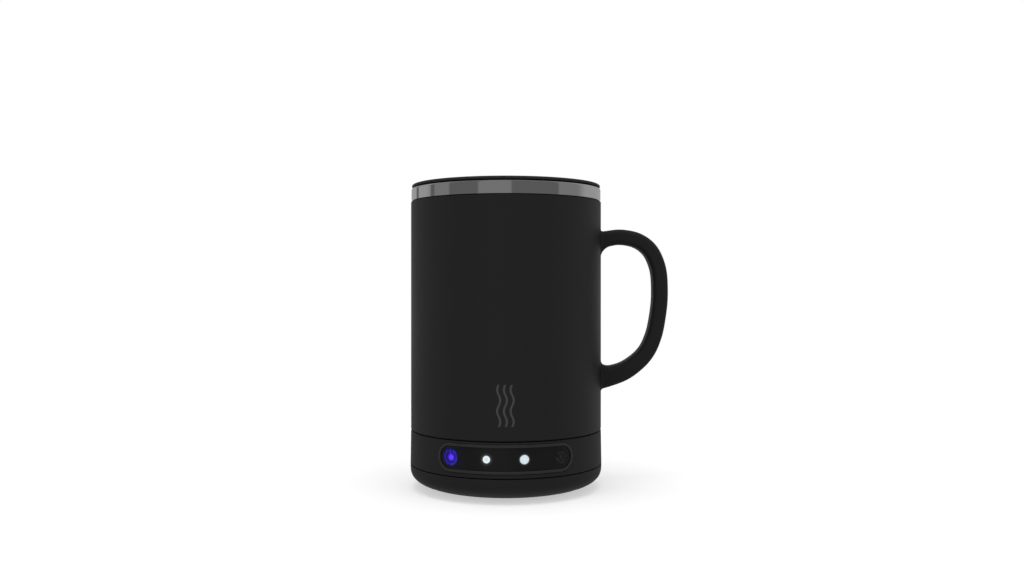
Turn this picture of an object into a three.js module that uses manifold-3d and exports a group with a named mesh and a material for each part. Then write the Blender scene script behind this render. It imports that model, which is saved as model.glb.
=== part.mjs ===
// Self-heating mug: a lidded steel cup in a black sleeve, which twists onto a round battery base.
// Millimetres. +Z is up, +X points to the handle and -Y to the control panel.
import * as THREE from 'three';
import { mergeVertices } from 'three/addons/utils/BufferGeometryUtils.js';
import Module from 'manifold-3d';

const wasm = await Module();
wasm.setup();

// Fits and cutting
const fitGap = 0.3;
const neckPlay = 0.4;
const ribPlay = 0.15;
const cutOverrun = 1;
const mergeTolerance = 0.0001;

// Facets of round shapes
const roundSides = 36;
const innerSides = 24;
const pinSides = 12;
const screwSides = 8;
const wireHalfSides = 3;
const quarterTurn = Math.PI / 2;

// Mug
const mugHeight = 105.5;
const sleeveWall = 1.2;
const sleeveFootEdge = 0.6;
const sleeveTongueHeight = 2.9;
const sleeveTongueWall = 1;
const bandHeight = 5.65;
const bandInset = 0.2;
const cupJacket = 6.5;
const cupWall = 0.8;
const cupCornerRadius = 4;
const mouthDrop = 3.1;
const contactInset = 0.3;
const contactThickness = 1.5;
const ledgeThickness = 1.8;
const screwHeadRoom = 1.9;
const insulationTopRoom = 7.5;

// Bayonet
const socketWall = 1.2;
const socketFloorThickness = 2;
const socketFloorClearance = 0.9;
const socketHoleInset = 0.4;
const socketFootRise = 1.3;
const pinRadius = 1.5;
const pinDepth = 3.2;
const pinBelowNeckTop = 2.1;
const pinTipRecess = 0.23;
const pinTipEdge = 0.25;
const pinHoleGap = 0.25;
const lockAngle = 20;
const pinAngles = [-90, 0, 90, 180];
const socketScrewAngles = [45, 165, 285];
const sealSection = 0.5;
const sealPlay = 0.35;
const sealRest = 0.15;

// Handle
const gripReach = 26.2;
const gripLowZ = 22.8;
const gripTopDrop = 21.1;
const gripThickness = 6.6;
const gripWidth = 11;
const gripRoundness = 2.7;
const rootFillet = 4.4;
const rootOuterFillet = 0.8;
const gripSides = 12;
const gripStations = 32;
const highScrewDrop = 0.8;
const lowScrewDrop = 0.4;

// Lid
const lidInset = 0.4;
const flangeThickness = 1.3;
const flangeEdge = 0.65;
const lidTopThickness = 3.2;
const plugDepth = 10.6;
const skirtWall = 1.1;
const skirtLipCover = 1.2;
const sealThickness = 0.8;
const ribHeight = 0.35;
const ribPitch = 2.25;
const ribCount = 3;
const firstRibDrop = 4.5;
const plugLip = 1.9;
const plugEdge = 0.6;

// Base shells
const seamFlare = 0.2;
const seamGap = 0.4;
const footStand = 0.4;
const dishReach = 15.45;
const dishReachPower = 1.07;
const dishDropPower = 0.627;
const coverWall = 1.8;
const coverLipWall = 1.2;
const coverLipHeight = 2.2;
const baseWall = 2;
const shoulderEdge = 0.6;
const shoulderThickness = 2;
const neckHeight = 6.3;
const neckEdge = 0.8;
const neckWall = 2;
const neckTopThickness = 2;
const neckRimWidth = 11;
const recessEdge = 0.6;
const recessDepth = 3.3;
const recessFloorThickness = 1.6;
const recessWall = 3.8;
const padInset = 2.75;
const padThickness = 0.9;
const padEdge = 0.3;
const postRadius = 2;
const postCellGap = 0.95;
const postLipGap = 0.2;
const coverBossWall = 1.2;
const coverBossHeight = 4.2;
const coverScrewFloor = 2.4;

// Screws
const screwShaft = 1;
const screwHead = 2.1;
const screwHeadHeight = 1;
const smallScrewShaft = 0.8;
const smallScrewHead = 1.5;
const smallScrewHeadHeight = 0.8;
const countersunkHeight = 0.6;
const handleScrewShaft = 1.2;
const handleScrewHead = 2.4;
const handleScrewHeadHeight = 1.3;
const handleScrewReach = 8.5;
const coverScrewReach = 10;
const heaterScrewReach = 4;
const boardScrewReach = 4;
const socketScrewReach = 1.4;

// Heater
const heaterProud = 2.3;
const plateInset = 0.4;
const plateThickness = 0.6;
const plateEdge = 0.3;
const plateBossStep = 1.4;
const plateBossHeight = 1.3;
const recessRoom = 3.7;
const ringWall = 1.5;
const ringEdge = 0.5;
const ringHoleGap = 0.5;
const elementInset = 2;
const elementThickness = 0.6;
const carrierFlangeThickness = 1.1;
const carrierTopThickness = 1.8;
const carrierWall = 1.9;
const thermistorRadius = 1.2;
const thermistorHeight = 1.4;
const shieldThickness = 0.5;
const heaterLeadX = 8;
const heaterLeadSpread = 3;
const heaterScrewAngles = [30, 150, 270];

// Battery and boards
const cellRadius = 9.25;
const cellLength = 65;
const cellNubRadius = 3;
const cellNubHeight = 0.8;
const cellEdge = 0.8;
const cellSideGap = 0.7;
const cellFloorGap = 1.55;
const cellCornerRoom = 0.93;
const holderSetback = 15.5;
const holderHeight = 6;
const holderSideWall = 0.1;
const linkThickness = 0.3;
const linkHeight = 6;
const linkOverhang = 2.4;
const wireRadius = 0.6;
const wireBend = 1;
const boardGap = 0.35;
const boardThickness = 1;
const boardFlexGap = 4.3;
const boardEdgeGap = 0.5;
const boardScrewAngles = [0, 180];
const screwToBoardGap = 0.5;
const chipSize = 7;
const chipHeight = 0.9;
const inductorRadius = 4;
const inductorHeight = 1.3;
const chipOffset = 9;

// Charge port
const portWidth = 9;
const portHeight = 3.2;
const portDepth = 7.3;
const portWall = 0.35;
const portTongueWidth = 6.6;
const portTongueHeight = 0.7;
const portTongueSetback = 1;
const portRecess = 1.1;

// Control panel
const panelHalfAngle = 41.9;
const panelHeight = 12.5;
const panelBelowShoulder = 6.9;
const panelAboveSeam = 1.55;
const panelStepAngle = 7;
const panelEndSteps = 4;
const bezelWidth = 1.2;
const bezelProud = 0.15;
const bezelThickness = 0.65;
const bezelBackGap = 0.2;
const faceThickness = 1.5;
const keyAngle = 32;
const keyRadius = 3.2;
const keyFlange = 0.8;
const keyFlangeThickness = 0.5;
const keyTravel = 0.5;
const plungerRadius = 1.5;
const plungerHeight = 1.4;
const switchWidth = 6;
const switchDepth = 2.4;
const windowAngle = 10.6;
const smallWindowRadius = 1.6;
const largeWindowRadius = 2.05;
const ledWidth = 2;
const ledDepth = 1;
const flexThickness = 1;
const flexHalfAngle = 38;
const flexHeight = 9;

// Radii that follow from the cells and the fits, from the cover's lip outwards
const cellY = cellRadius + cellSideGap / 2;
const cellSideReach = cellY + cellRadius;
const lipInner = Math.hypot(cellLength / 2, cellSideReach) + cellCornerRoom;
const lipOuter = lipInner + coverLipWall;
const baseInner = lipOuter + fitGap;
const bodyRadius = baseInner + baseWall;
const seamRadius = bodyRadius + seamFlare;
const dishFlatRadius = seamRadius - dishReach;
const padRadius = dishFlatRadius - padInset;

// Radii that follow from the fits, from the sleeve inwards
const sleeveInner = bodyRadius - sleeveWall;
const lidRadius = bodyRadius - lidInset;
const bandRadius = bodyRadius - bandInset;
const bandInner = bandRadius - cupWall;
const cupInnerRadius = bodyRadius - cupJacket;
const cupOuterRadius = cupInnerRadius + cupWall;
const ledgeInner = cupOuterRadius + fitGap;
const socketOuter = sleeveInner - fitGap;
const socketInner = socketOuter - socketWall;
const neckRadius = socketInner - neckPlay;
const neckInner = neckRadius - neckWall;
const pinTip = socketOuter - pinTipRecess;
const recessRadius = neckRadius - neckRimWidth;
const recessOuter = recessRadius + recessWall;
const socketHoleRadius = recessRadius - socketHoleInset;
const ringRadius = recessRadius - recessRoom;
const ringHole = ringRadius + ringHoleGap;
const ringInner = ringRadius - ringWall;
const plateRadius = ringRadius - plateInset;
const elementRadius = plateRadius - elementInset;
const contactRadius = plateRadius - contactInset;

// Heights above the table, from the foot up
const coverBottomZ = footStand;
const coverFloorZ = coverBottomZ + coverWall;
const coverBossTopZ = coverFloorZ + coverBossHeight + coverWall;
const coverScrewSeatZ = coverBossTopZ - coverScrewFloor;
const postFootZ = coverBossTopZ + fitGap;
const cellZ = coverFloorZ + cellFloorGap + cellRadius;
const boardBottomZ = cellZ + cellRadius + boardGap;
const boardTopZ = boardBottomZ + boardThickness;
const portZ = boardBottomZ - fitGap - portHeight / 2;
const heaterScrewHeadZ = boardTopZ + screwToBoardGap;
const carrierBottomZ = heaterScrewHeadZ + smallScrewHeadHeight + fitGap;
const carrierFlangeTopZ = carrierBottomZ + carrierFlangeThickness;
const recessUndersideZ = carrierFlangeTopZ + fitGap;
const recessFloorZ = recessUndersideZ + recessFloorThickness;
const neckTopZ = recessFloorZ + recessDepth;
const neckUndersideZ = neckTopZ - neckTopThickness;
const shoulderZ = neckTopZ - neckHeight;
const shoulderUndersideZ = shoulderZ - shoulderThickness;
const pinZ = neckTopZ - pinBelowNeckTop;
const heaterTopZ = neckTopZ + heaterProud;
const plateBottomZ = heaterTopZ - plateThickness;
const plateBossZ = plateBottomZ - plateBossHeight;
const elementBottomZ = plateBossZ - fitGap - elementThickness;
const carrierTopZ = elementBottomZ - fitGap;
const carrierCeilingZ = carrierTopZ - carrierTopThickness;
const shieldTopZ = carrierCeilingZ - fitGap;
const panelZ = shoulderZ - panelBelowShoulder;
const seamZ = panelZ - panelHeight / 2 - panelAboveSeam;
const dishDepth = seamZ - coverBottomZ;
const coverTopZ = seamZ - seamGap / 2;
const housingFootZ = seamZ + seamGap / 2;

// Heights in the mug's own frame, above its lower edge, and the seats of mug and lid
const mugSeatZ = shoulderZ + fitGap;
const socketFloorZ = neckTopZ + socketFloorClearance - mugSeatZ;
const socketTopZ = socketFloorZ + socketFloorThickness;
const ledgeBottomZ = socketTopZ + fitGap;
const ledgeTopZ = ledgeBottomZ + ledgeThickness;
const contactBottomZ = heaterTopZ + fitGap - mugSeatZ;
const cupBottomZ = contactBottomZ + contactThickness + fitGap;
const cupFloorZ = cupBottomZ + cupWall;
const bandBottomZ = mugHeight - bandHeight;
const sleeveTopZ = bandBottomZ - fitGap;
const gripHighZ = mugHeight - gripTopDrop;
const handleScrewHighZ = gripHighZ - highScrewDrop;
const handleScrewLowZ = gripLowZ - lowScrewDrop;
const lidSeatZ = mugSeatZ + mugHeight + fitGap;

// Panel radii, from the outer face inwards
const bezelRadius = bodyRadius + bezelProud + fitGap / 2;
const bezelBack = bezelRadius - bezelThickness;
const faceRadius = bezelBack - bezelBackGap;
const faceBack = faceRadius - faceThickness;
const panelHalfLength = THREE.MathUtils.degToRad(panelHalfAngle) * faceRadius;
const keyFlangeOuter = faceBack - fitGap;
const keyFlangeInner = keyFlangeOuter - keyFlangeThickness;
const plungerTop = keyFlangeInner - fitGap;
const plungerFoot = plungerTop - plungerHeight;
const switchTop = keyFlangeInner - keyTravel - fitGap;
const switchFoot = switchTop - switchDepth;
const flexOuter = switchFoot - fitGap;
const flexInner = flexOuter - flexThickness;
const ledTop = flexOuter + fitGap + ledDepth;

// Places of the holder and the board, and of the posts that take the screws
const holderLength = cellLength - 2 * holderSetback;
const boardFrontY = flexInner * Math.cos(THREE.MathUtils.degToRad(flexHalfAngle)) - boardFlexGap;
const postRing = lipInner - postLipGap - postRadius;
const postY = cellSideReach + postCellGap + postRadius;
const postX = Math.sqrt(postRing ** 2 - postY ** 2);
const heaterScrewRing = (recessRadius + recessOuter) / 2;
const boardPostRing = (recessOuter + neckInner) / 2;
const socketScrewRing = ledgeInner + smallScrewHead;
const boardRadius = neckInner - boardEdgeGap;

const finishes = {
  blackPlastic: { color: 0x222222, roughness: 0.6, metalness: 0 },
  gripPlastic: { color: 0x1d1d1d, roughness: 0.55, metalness: 0 },
  innerPlastic: { color: 0x2c2c2e, roughness: 0.7, metalness: 0 },
  silicone: { color: 0x1a1a1a, roughness: 0.8, metalness: 0 },
  polishedSteel: { color: 0xc8c8c8, roughness: 0.12, metalness: 1 },
  brushedSteel: { color: 0xb4b4b4, roughness: 0.35, metalness: 1 },
  paleHeater: { color: 0xe3e3e3, roughness: 0.4, metalness: 0 },
  aluminium: { color: 0xc4c6c8, roughness: 0.4, metalness: 1 },
  nickel: { color: 0xb9b5a8, roughness: 0.3, metalness: 1 },
  glossBlack: { color: 0x121212, roughness: 0.12, metalness: 0 },
  bezelBlack: { color: 0x2d2d2d, roughness: 0.4, metalness: 0 },
  blueGlow: { color: 0x4a2cff, roughness: 0.4, metalness: 0 },
  whiteGlow: { color: 0xe6f5fa, roughness: 0.4, metalness: 0 },
  circuitBoard: { color: 0x1f5a34, roughness: 0.5, metalness: 0 },
  chipBlack: { color: 0x161618, roughness: 0.5, metalness: 0 },
  cellWrap: { color: 0x2f6fb3, roughness: 0.45, metalness: 0 },
  mica: { color: 0xb98f5a, roughness: 0.7, metalness: 0 },
  foam: { color: 0xd9d6cc, roughness: 0.95, metalness: 0 },
  redWire: { color: 0xa31d1d, roughness: 0.5, metalness: 0 },
  blackWire: { color: 0x151515, roughness: 0.5, metalness: 0 },
};

// Closed solid of a geometry, facing out, with its shared corners merged.
function solid(geometry) {
  geometry.deleteAttribute('normal');
  geometry.deleteAttribute('uv');
  const merged = mergeVertices(geometry, mergeTolerance);
  const corners = merged.attributes.position;
  const order = merged.index.array;
  const triangles = [];
  let volume = 0;
  for (let i = 0; i < order.length; i += 3) {
    const [a, b, c] = [order[i], order[i + 1], order[i + 2]];
    if (a === b || b === c || c === a) continue;
    triangles.push(a, b, c);
    const [p, q, r] = [a, b, c].map((k) => new THREE.Vector3().fromBufferAttribute(corners, k));
    volume += p.dot(q.cross(r));
  }
  if (volume < 0) triangles.reverse();
  return new wasm.Manifold(new wasm.Mesh({
    numProp: 3,
    vertProperties: new Float32Array(corners.array),
    triVerts: new Uint32Array(triangles),
  }));
}

const bodyOf = (shape) => (shape.isBufferGeometry ? solid(shape) : shape);

function join(first, ...others) {
  return others.reduce((whole, shape) => whole.add(bodyOf(shape)), bodyOf(first));
}

function cut(first, ...tools) {
  return tools.reduce((rest, shape) => rest.subtract(bodyOf(shape)), bodyOf(first));
}

function common(first, second) {
  return bodyOf(first).intersect(bodyOf(second));
}

// Mesh of a solid, named and finished.
function part(name, shape, finish) {
  const { vertProperties, triVerts } = bodyOf(shape).getMesh();
  const geometry = new THREE.BufferGeometry();
  geometry.setAttribute('position', new THREE.BufferAttribute(new Float32Array(vertProperties), 3));
  geometry.setIndex(new THREE.BufferAttribute(new Uint32Array(triVerts), 1));
  geometry.computeVertexNormals();
  const mesh = new THREE.Mesh(geometry, new THREE.MeshStandardMaterial(finishes[finish]));
  mesh.name = name;
  return mesh;
}

function group(z, ...meshes) {
  const holder = new THREE.Group();
  holder.position.z = z;
  holder.add(...meshes);
  return holder;
}

// Solid of revolution about Z from [radius, height] points; the last point joins the first.
function turned(profile, sides = roundSides) {
  const points = [...profile, profile[0]].map(([r, z]) => new THREE.Vector2(r, z));
  return new THREE.LatheGeometry(points, sides).rotateX(quarterTurn);
}

// Points of an elliptic arc in the profile plane, from one angle in degrees to another.
function arc(centreR, centreZ, reachR, reachZ, from, to, steps) {
  return Array.from({ length: steps + 1 }, (_, i) => {
    const angle = THREE.MathUtils.degToRad(from + ((to - from) * i) / steps);
    return [centreR + reachR * Math.cos(angle), centreZ + reachZ * Math.sin(angle)];
  });
}

// Upright cylinder at a place, between two heights.
function post(radius, x, y, low, high, sides = screwSides) {
  return turned([[0, low], [radius, low], [radius, high], [0, high]], sides).translate(x, y, 0);
}

function block(low, high) {
  const size = high.map((value, i) => value - low[i]);
  const centre = high.map((value, i) => (value + low[i]) / 2);
  return new THREE.BoxGeometry(...size).translate(...centre);
}

// Turns a shape built along Z so that it points outwards at an azimuth in degrees, at a height.
function outwards(shape, azimuth, z) {
  return shape
    .rotateY(quarterTurn)
    .rotateZ(THREE.MathUtils.degToRad(azimuth))
    .translate(0, 0, z);
}

// Closed skin over a row of equal rings of points, with flat ends.
function loft(rings) {
  const count = rings[0].length;
  const corners = rings.flat();
  const faces = [];
  for (let i = 0; i + 1 < rings.length; i += 1) {
    for (let k = 0; k < count; k += 1) {
      const a = i * count + k;
      const b = i * count + ((k + 1) % count);
      faces.push(a, b, b + count, a, b + count, a + count);
    }
  }
  const last = (rings.length - 1) * count;
  for (let k = 1; k + 1 < count; k += 1) {
    faces.push(0, k + 1, k);
    faces.push(last, last + k, last + k + 1);
  }
  return new THREE.BufferGeometry().setFromPoints(corners).setIndex(faces);
}

// Four corners of a rectangle that stands on a radius of the Z axis.
function sectionAt(angle, inner, outer, low, high) {
  const at = (radius, z) => new THREE.Vector3(radius * Math.cos(angle), radius * Math.sin(angle), z);
  return [at(inner, low), at(outer, low), at(outer, high), at(inner, high)];
}

// Obround bar wrapped round the Z axis at the front; its length is measured at the face radius.
function wrappedBar(inner, outer, height, halfLength, azimuth = -90) {
  const endRadius = height / 2;
  const flat = halfLength - endRadius;
  const flatSteps = Math.ceil((2 * panelHalfAngle) / panelStepAngle);
  const columns = [];
  for (let i = 1; i < panelEndSteps; i += 1) {
    const angle = (quarterTurn * i) / panelEndSteps;
    columns.push([-flat - endRadius * Math.cos(angle), endRadius * Math.sin(angle)]);
  }
  for (let i = 0; i <= flatSteps; i += 1) {
    columns.push([-flat + (2 * flat * i) / flatSteps, endRadius]);
  }
  for (let i = panelEndSteps - 1; i > 0; i -= 1) {
    const angle = (quarterTurn * i) / panelEndSteps;
    columns.push([flat + endRadius * Math.cos(angle), endRadius * Math.sin(angle)]);
  }
  const middle = THREE.MathUtils.degToRad(azimuth);
  return loft(columns.map(([along, half]) => {
    const angle = middle + along / faceRadius;
    return sectionAt(angle, inner, outer, panelZ - half, panelZ + half);
  }));
}

// Ring segment between two azimuths in degrees.
function ringSegment(inner, outer, low, high, from, to, steps) {
  return loft(Array.from({ length: steps + 1 }, (_, i) => {
    const angle = THREE.MathUtils.degToRad(from + ((to - from) * i) / steps);
    return sectionAt(angle, inner, outer, low, high);
  }));
}

// Headed screw along Z: the head's lower face at headZ, the shaft above it.
function screw(head, headHeight, shaft, reach, headZ) {
  const seat = headZ + headHeight;
  const tip = seat + reach;
  return turned([[0, headZ], [head, headZ], [head, seat], [shaft, seat], [shaft, tip], [0, tip]], screwSides);
}

const polar = (radius, degrees) => {
  const angle = THREE.MathUtils.degToRad(degrees);
  return [radius * Math.cos(angle), radius * Math.sin(angle)];
};

const coverScrewPlaces = [[postX, postY], [-postX, postY], [-postX, -postY], [postX, -postY]];
const boardScrewPlaces = boardScrewAngles.map((angle) => polar(boardPostRing, angle));
const heaterScrewPlaces = heaterScrewAngles.map((angle) => polar(heaterScrewRing, angle));
const socketScrewPlaces = socketScrewAngles.map((angle) => polar(socketScrewRing, angle));
const coverScrewHeadZ = coverScrewSeatZ - screwHeadHeight;

// Dish curve from the flat underside to the seam, drawn in by a wall thickness.
function dishCurve(wall, steps) {
  const flat = dishFlatRadius - wall;
  const reach = seamRadius - wall - flat;
  const depth = dishDepth - seamGap / 2 - wall;
  return Array.from({ length: steps + 1 }, (_, i) => {
    const angle = quarterTurn * (1 - i / steps);
    const drop = depth * Math.sin(angle) ** dishDropPower;
    return [flat + reach * Math.max(Math.cos(angle), 0) ** dishReachPower, coverTopZ - drop];
  });
}

function baseHousing() {
  const shell = turned([
    [seamRadius, housingFootZ],
    ...arc(bodyRadius - shoulderEdge, shoulderZ - shoulderEdge, shoulderEdge, shoulderEdge, 0, 90, 2),
    [neckRadius, shoulderZ],
    ...arc(neckRadius - neckEdge, neckTopZ - neckEdge, neckEdge, neckEdge, 0, 90, 2),
    [recessRadius + recessEdge, neckTopZ],
    [recessRadius, neckTopZ - recessEdge],
    [recessRadius, recessFloorZ],
    [ringHole, recessFloorZ],
    [ringHole, recessUndersideZ],
    [recessOuter, recessUndersideZ],
    [recessOuter, neckUndersideZ],
    [neckInner, neckUndersideZ],
    [neckInner, shoulderUndersideZ],
    [baseInner, shoulderUndersideZ],
    [baseInner, housingFootZ],
  ]);
  const pilot = screwShaft + fitGap;
  const smallPilot = smallScrewShaft + fitGap;
  const pinHole = pinRadius + pinHoleGap;
  const pinHoleEnd = neckRadius - pinDepth - fitGap;
  const posts = coverScrewPlaces.map(([x, y]) => (
    post(postRadius, x, y, postFootZ, shoulderUndersideZ + shoulderThickness / 2)));
  const boardPosts = boardScrewPlaces.map(([x, y]) => (
    post(postRadius, x, y, boardTopZ + fitGap, neckUndersideZ + neckTopThickness / 2)));
  const coverPilots = coverScrewPlaces.map(([x, y]) => (
    post(pilot, x, y, postFootZ - cutOverrun, coverScrewSeatZ + coverScrewReach + fitGap)));
  const boardPilots = boardScrewPlaces.map(([x, y]) => (
    post(smallPilot, x, y, boardTopZ, boardBottomZ + boardScrewReach + fitGap)));
  const heaterPilots = heaterScrewPlaces.map(([x, y]) => (
    post(smallPilot, x, y, recessUndersideZ - cutOverrun, carrierBottomZ + heaterScrewReach)));
  const pinHoles = pinAngles.map((angle) => (
    outwards(post(pinHole, 0, 0, pinHoleEnd, neckRadius + cutOverrun, pinSides), angle, pinZ)));
  const window = wrappedBar(faceBack - cutOverrun / 2, seamRadius + cutOverrun, panelHeight,
    panelHalfLength);
  const portHole = portShape(portWidth + 2 * fitGap, portHeight + 2 * fitGap, baseInner - cutOverrun,
    seamRadius + cutOverrun);
  const pilots = [...coverPilots, ...boardPilots, ...heaterPilots];
  return cut(join(shell, ...posts, ...boardPosts), ...pilots, ...pinHoles, window, portHole);
}

function bottomCover() {
  const outside = dishCurve(0, 6);
  const inside = dishCurve(coverWall, 4).reverse();
  const padHole = padRadius + fitGap;
  const padSeatZ = padThickness + fitGap;
  const shell = turned([
    [0, padSeatZ],
    [padHole, padSeatZ],
    [padHole, coverBottomZ],
    ...outside,
    [lipOuter, coverTopZ],
    [lipOuter, coverTopZ + coverLipHeight],
    [lipInner, coverTopZ + coverLipHeight],
    [lipInner, coverTopZ - coverWall],
    ...inside.filter(([r]) => r < lipInner),
    [0, coverFloorZ],
  ]);
  const filled = turned([[0, coverBottomZ], ...outside, [0, coverTopZ]]);
  const sink = screwHead + fitGap;
  const bosses = coverScrewPlaces.map(([x, y]) => (
    common(filled, post(sink + coverBossWall, x, y, coverBottomZ, coverBossTopZ))));
  const sinks = coverScrewPlaces.map(([x, y]) => post(sink, x, y, -cutOverrun, coverScrewSeatZ + fitGap));
  const hole = screwShaft + fitGap;
  const holes = coverScrewPlaces.map(([x, y]) => post(hole, x, y, 0, coverBossTopZ + cutOverrun));
  return cut(join(shell, ...bosses), ...sinks, ...holes);
}

function footPad() {
  return turned([
    [0, 0],
    [padRadius - padEdge, 0],
    [padRadius, padEdge],
    [padRadius, padThickness],
    [0, padThickness],
  ], innerSides);
}

function bayonetPin(azimuth) {
  return outwards(turned([
    [0, neckRadius - pinDepth],
    [pinRadius, neckRadius - pinDepth],
    [pinRadius, pinTip - pinTipEdge],
    [pinRadius - pinTipEdge, pinTip],
    [0, pinTip],
  ], pinSides), azimuth, pinZ);
}

function neckSeal() {
  const ring = neckRadius + sealPlay + sealSection;
  const height = shoulderZ + sealRest + sealSection;
  return turned(arc(ring, height, sealSection, sealSection, 0, 288, 4), roundSides);
}

// Flat-sided slot with round ends, running along Y at the back of the base.
function portShape(width, height, from, to) {
  const flat = (width - height) / 2;
  const outline = new THREE.Shape();
  outline.absarc(flat, 0, height / 2, -quarterTurn, quarterTurn);
  outline.absarc(-flat, 0, height / 2, quarterTurn, 3 * quarterTurn);
  return new THREE.ExtrudeGeometry(outline, { depth: to - from, bevelEnabled: false, curveSegments: 6 })
    .rotateX(quarterTurn)
    .translate(0, to, portZ);
}

function chargePort() {
  const mouthY = bodyRadius - portRecess;
  const backY = mouthY - portDepth;
  const shell = portShape(portWidth, portHeight, backY, mouthY);
  const hollow = portShape(portWidth - 2 * portWall, portHeight - 2 * portWall, backY + portTongueSetback,
    mouthY + cutOverrun);
  const tongue = block(
    [-portTongueWidth / 2, backY, portZ - portTongueHeight / 2],
    [portTongueWidth / 2, mouthY - portTongueSetback, portZ + portTongueHeight / 2],
  );
  return join(cut(shell, hollow), tongue);
}

function mainBoard() {
  const disc = post(boardRadius, 0, 0, boardBottomZ, boardTopZ, innerSides);
  const [under, over] = [boardBottomZ - cutOverrun, boardTopZ + cutOverrun];
  const front = block([-bodyRadius, -bodyRadius, under], [bodyRadius, -boardFrontY, over]);
  const notches = coverScrewPlaces.map(([x, y]) => post(postRadius + boardEdgeGap, x, y, under, over));
  const holes = boardScrewPlaces.map(([x, y]) => post(smallScrewShaft + fitGap, x, y, under, over));
  const chip = block([-chipOffset - chipSize / 2, -chipSize / 2, boardTopZ],
    [-chipOffset + chipSize / 2, chipSize / 2, boardTopZ + chipHeight]);
  const sunk = boardTopZ - boardThickness / 2;
  const inductor = post(inductorRadius, 0, chipOffset, sunk, boardTopZ + inductorHeight);
  return join(cut(disc, front, ...notches, ...holes), chip, inductor);
}

function batteryCell(side) {
  const end = cellLength / 2;
  return turned([
    [0, -end],
    [cellRadius, -end],
    [cellRadius, end - cellNubHeight - cellEdge],
    [cellRadius - cellEdge, end - cellNubHeight],
    [cellNubRadius, end - cellNubHeight],
    [cellNubRadius, end],
    [0, end],
  ], innerSides).rotateY(quarterTurn).translate(0, side * cellY, cellZ);
}

function batteryHolder() {
  const top = coverFloorZ + fitGap + holderHeight;
  const side = cellSideReach - holderSideWall;
  const tray = block([-holderLength / 2, -side, coverFloorZ + fitGap], [holderLength / 2, side, top]);
  const troughs = [-1, 1].map((y) => turned([
    [0, -holderLength],
    [cellRadius + fitGap, -holderLength],
    [cellRadius + fitGap, holderLength],
    [0, holderLength],
  ], innerSides).rotateY(quarterTurn).translate(0, y * cellY, cellZ));
  return cut(tray, ...troughs);
}

function cellLink() {
  const near = cellLength / 2 + fitGap;
  return block([-near - linkThickness, -cellY - linkOverhang, cellZ - linkHeight / 2],
    [-near, cellY + linkOverhang, cellZ + linkHeight / 2]);
}

function wire(points) {
  const path = new THREE.CatmullRomCurve3(points.map((p) => new THREE.Vector3(...p)));
  const section = new THREE.Shape().absarc(0, 0, wireRadius, 0, 2 * Math.PI);
  return new THREE.ExtrudeGeometry(section,
    { steps: 2 * points.length, curveSegments: wireHalfSides, bevelEnabled: false, extrudePath: path });
}

function batteryLead(side) {
  const near = cellLength / 2 + fitGap + wireRadius;
  const y = side * cellY;
  return wire([
    [near, y, cellZ - cellNubRadius / 2],
    [near, y, cellZ + cellRadius / 2],
    [near + wireBend / 2, y, boardBottomZ - fitGap - wireBend],
    [near + wireBend / 2, y, boardBottomZ - fitGap],
  ]);
}

function heaterLead(side) {
  const y = side * heaterLeadSpread;
  return wire([
    [heaterLeadX + wireBend, y, boardTopZ + fitGap],
    [heaterLeadX + wireBend, y, boardTopZ + fitGap + wireBend],
    [heaterLeadX, y, shieldTopZ - shieldThickness - wireBend],
    [heaterLeadX, y, elementBottomZ - fitGap],
  ]);
}

function heaterLeadHoles() {
  return [-1, 1].map((side) => post(wireRadius + fitGap, heaterLeadX, side * heaterLeadSpread,
    shieldTopZ - shieldThickness - cutOverrun, carrierTopZ + cutOverrun));
}

function heaterPlate() {
  return turned([
    [0, plateBossZ],
    [plateRadius - plateBossStep, plateBossZ],
    [plateRadius - plateBossStep, plateBottomZ],
    [plateRadius, plateBottomZ],
    [plateRadius, heaterTopZ - plateEdge],
    [plateRadius - plateEdge, heaterTopZ],
    [0, heaterTopZ],
  ]);
}

function heaterRing() {
  const top = plateBottomZ - fitGap;
  return turned([
    [ringInner, recessUndersideZ],
    [ringRadius, recessUndersideZ],
    ...arc(ringRadius - ringEdge, top - ringEdge, ringEdge, ringEdge, 0, 90, 2),
    [ringInner, top],
  ]);
}

function heatingElement() {
  return post(elementRadius, 0, 0, elementBottomZ, elementBottomZ + elementThickness, innerSides);
}

function heaterCarrier() {
  const tower = ringInner - fitGap;
  const flange = recessOuter + fitGap;
  const hat = turned([
    [thermistorRadius + fitGap, carrierCeilingZ],
    [thermistorRadius + fitGap, carrierTopZ],
    [tower, carrierTopZ],
    [tower, carrierFlangeTopZ],
    [flange, carrierFlangeTopZ],
    [flange, carrierBottomZ],
    [tower - carrierWall, carrierBottomZ],
    [tower - carrierWall, carrierCeilingZ],
  ], innerSides);
  const holes = heaterScrewPlaces.map(([x, y]) => (
    post(smallScrewShaft + fitGap, x, y, carrierBottomZ - cutOverrun, carrierFlangeTopZ + cutOverrun)));
  return cut(hat, ...holes, ...heaterLeadHoles());
}

function heatShield() {
  const radius = ringInner - fitGap - carrierWall - fitGap;
  const disc = post(radius, 0, 0, shieldTopZ - shieldThickness, shieldTopZ, innerSides);
  return cut(disc, ...heaterLeadHoles());
}

const frontAngle = -90;
const powerAngle = frontAngle - keyAngle;
const modeAngle = frontAngle + keyAngle;
const windows = [
  { azimuth: frontAngle - windowAngle, radius: smallWindowRadius },
  { azimuth: frontAngle + windowAngle, radius: largeWindowRadius },
];
const panelFaceHeight = panelHeight - 2 * fitGap;
const panelFaceHalf = panelHalfLength - fitGap;

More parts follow.
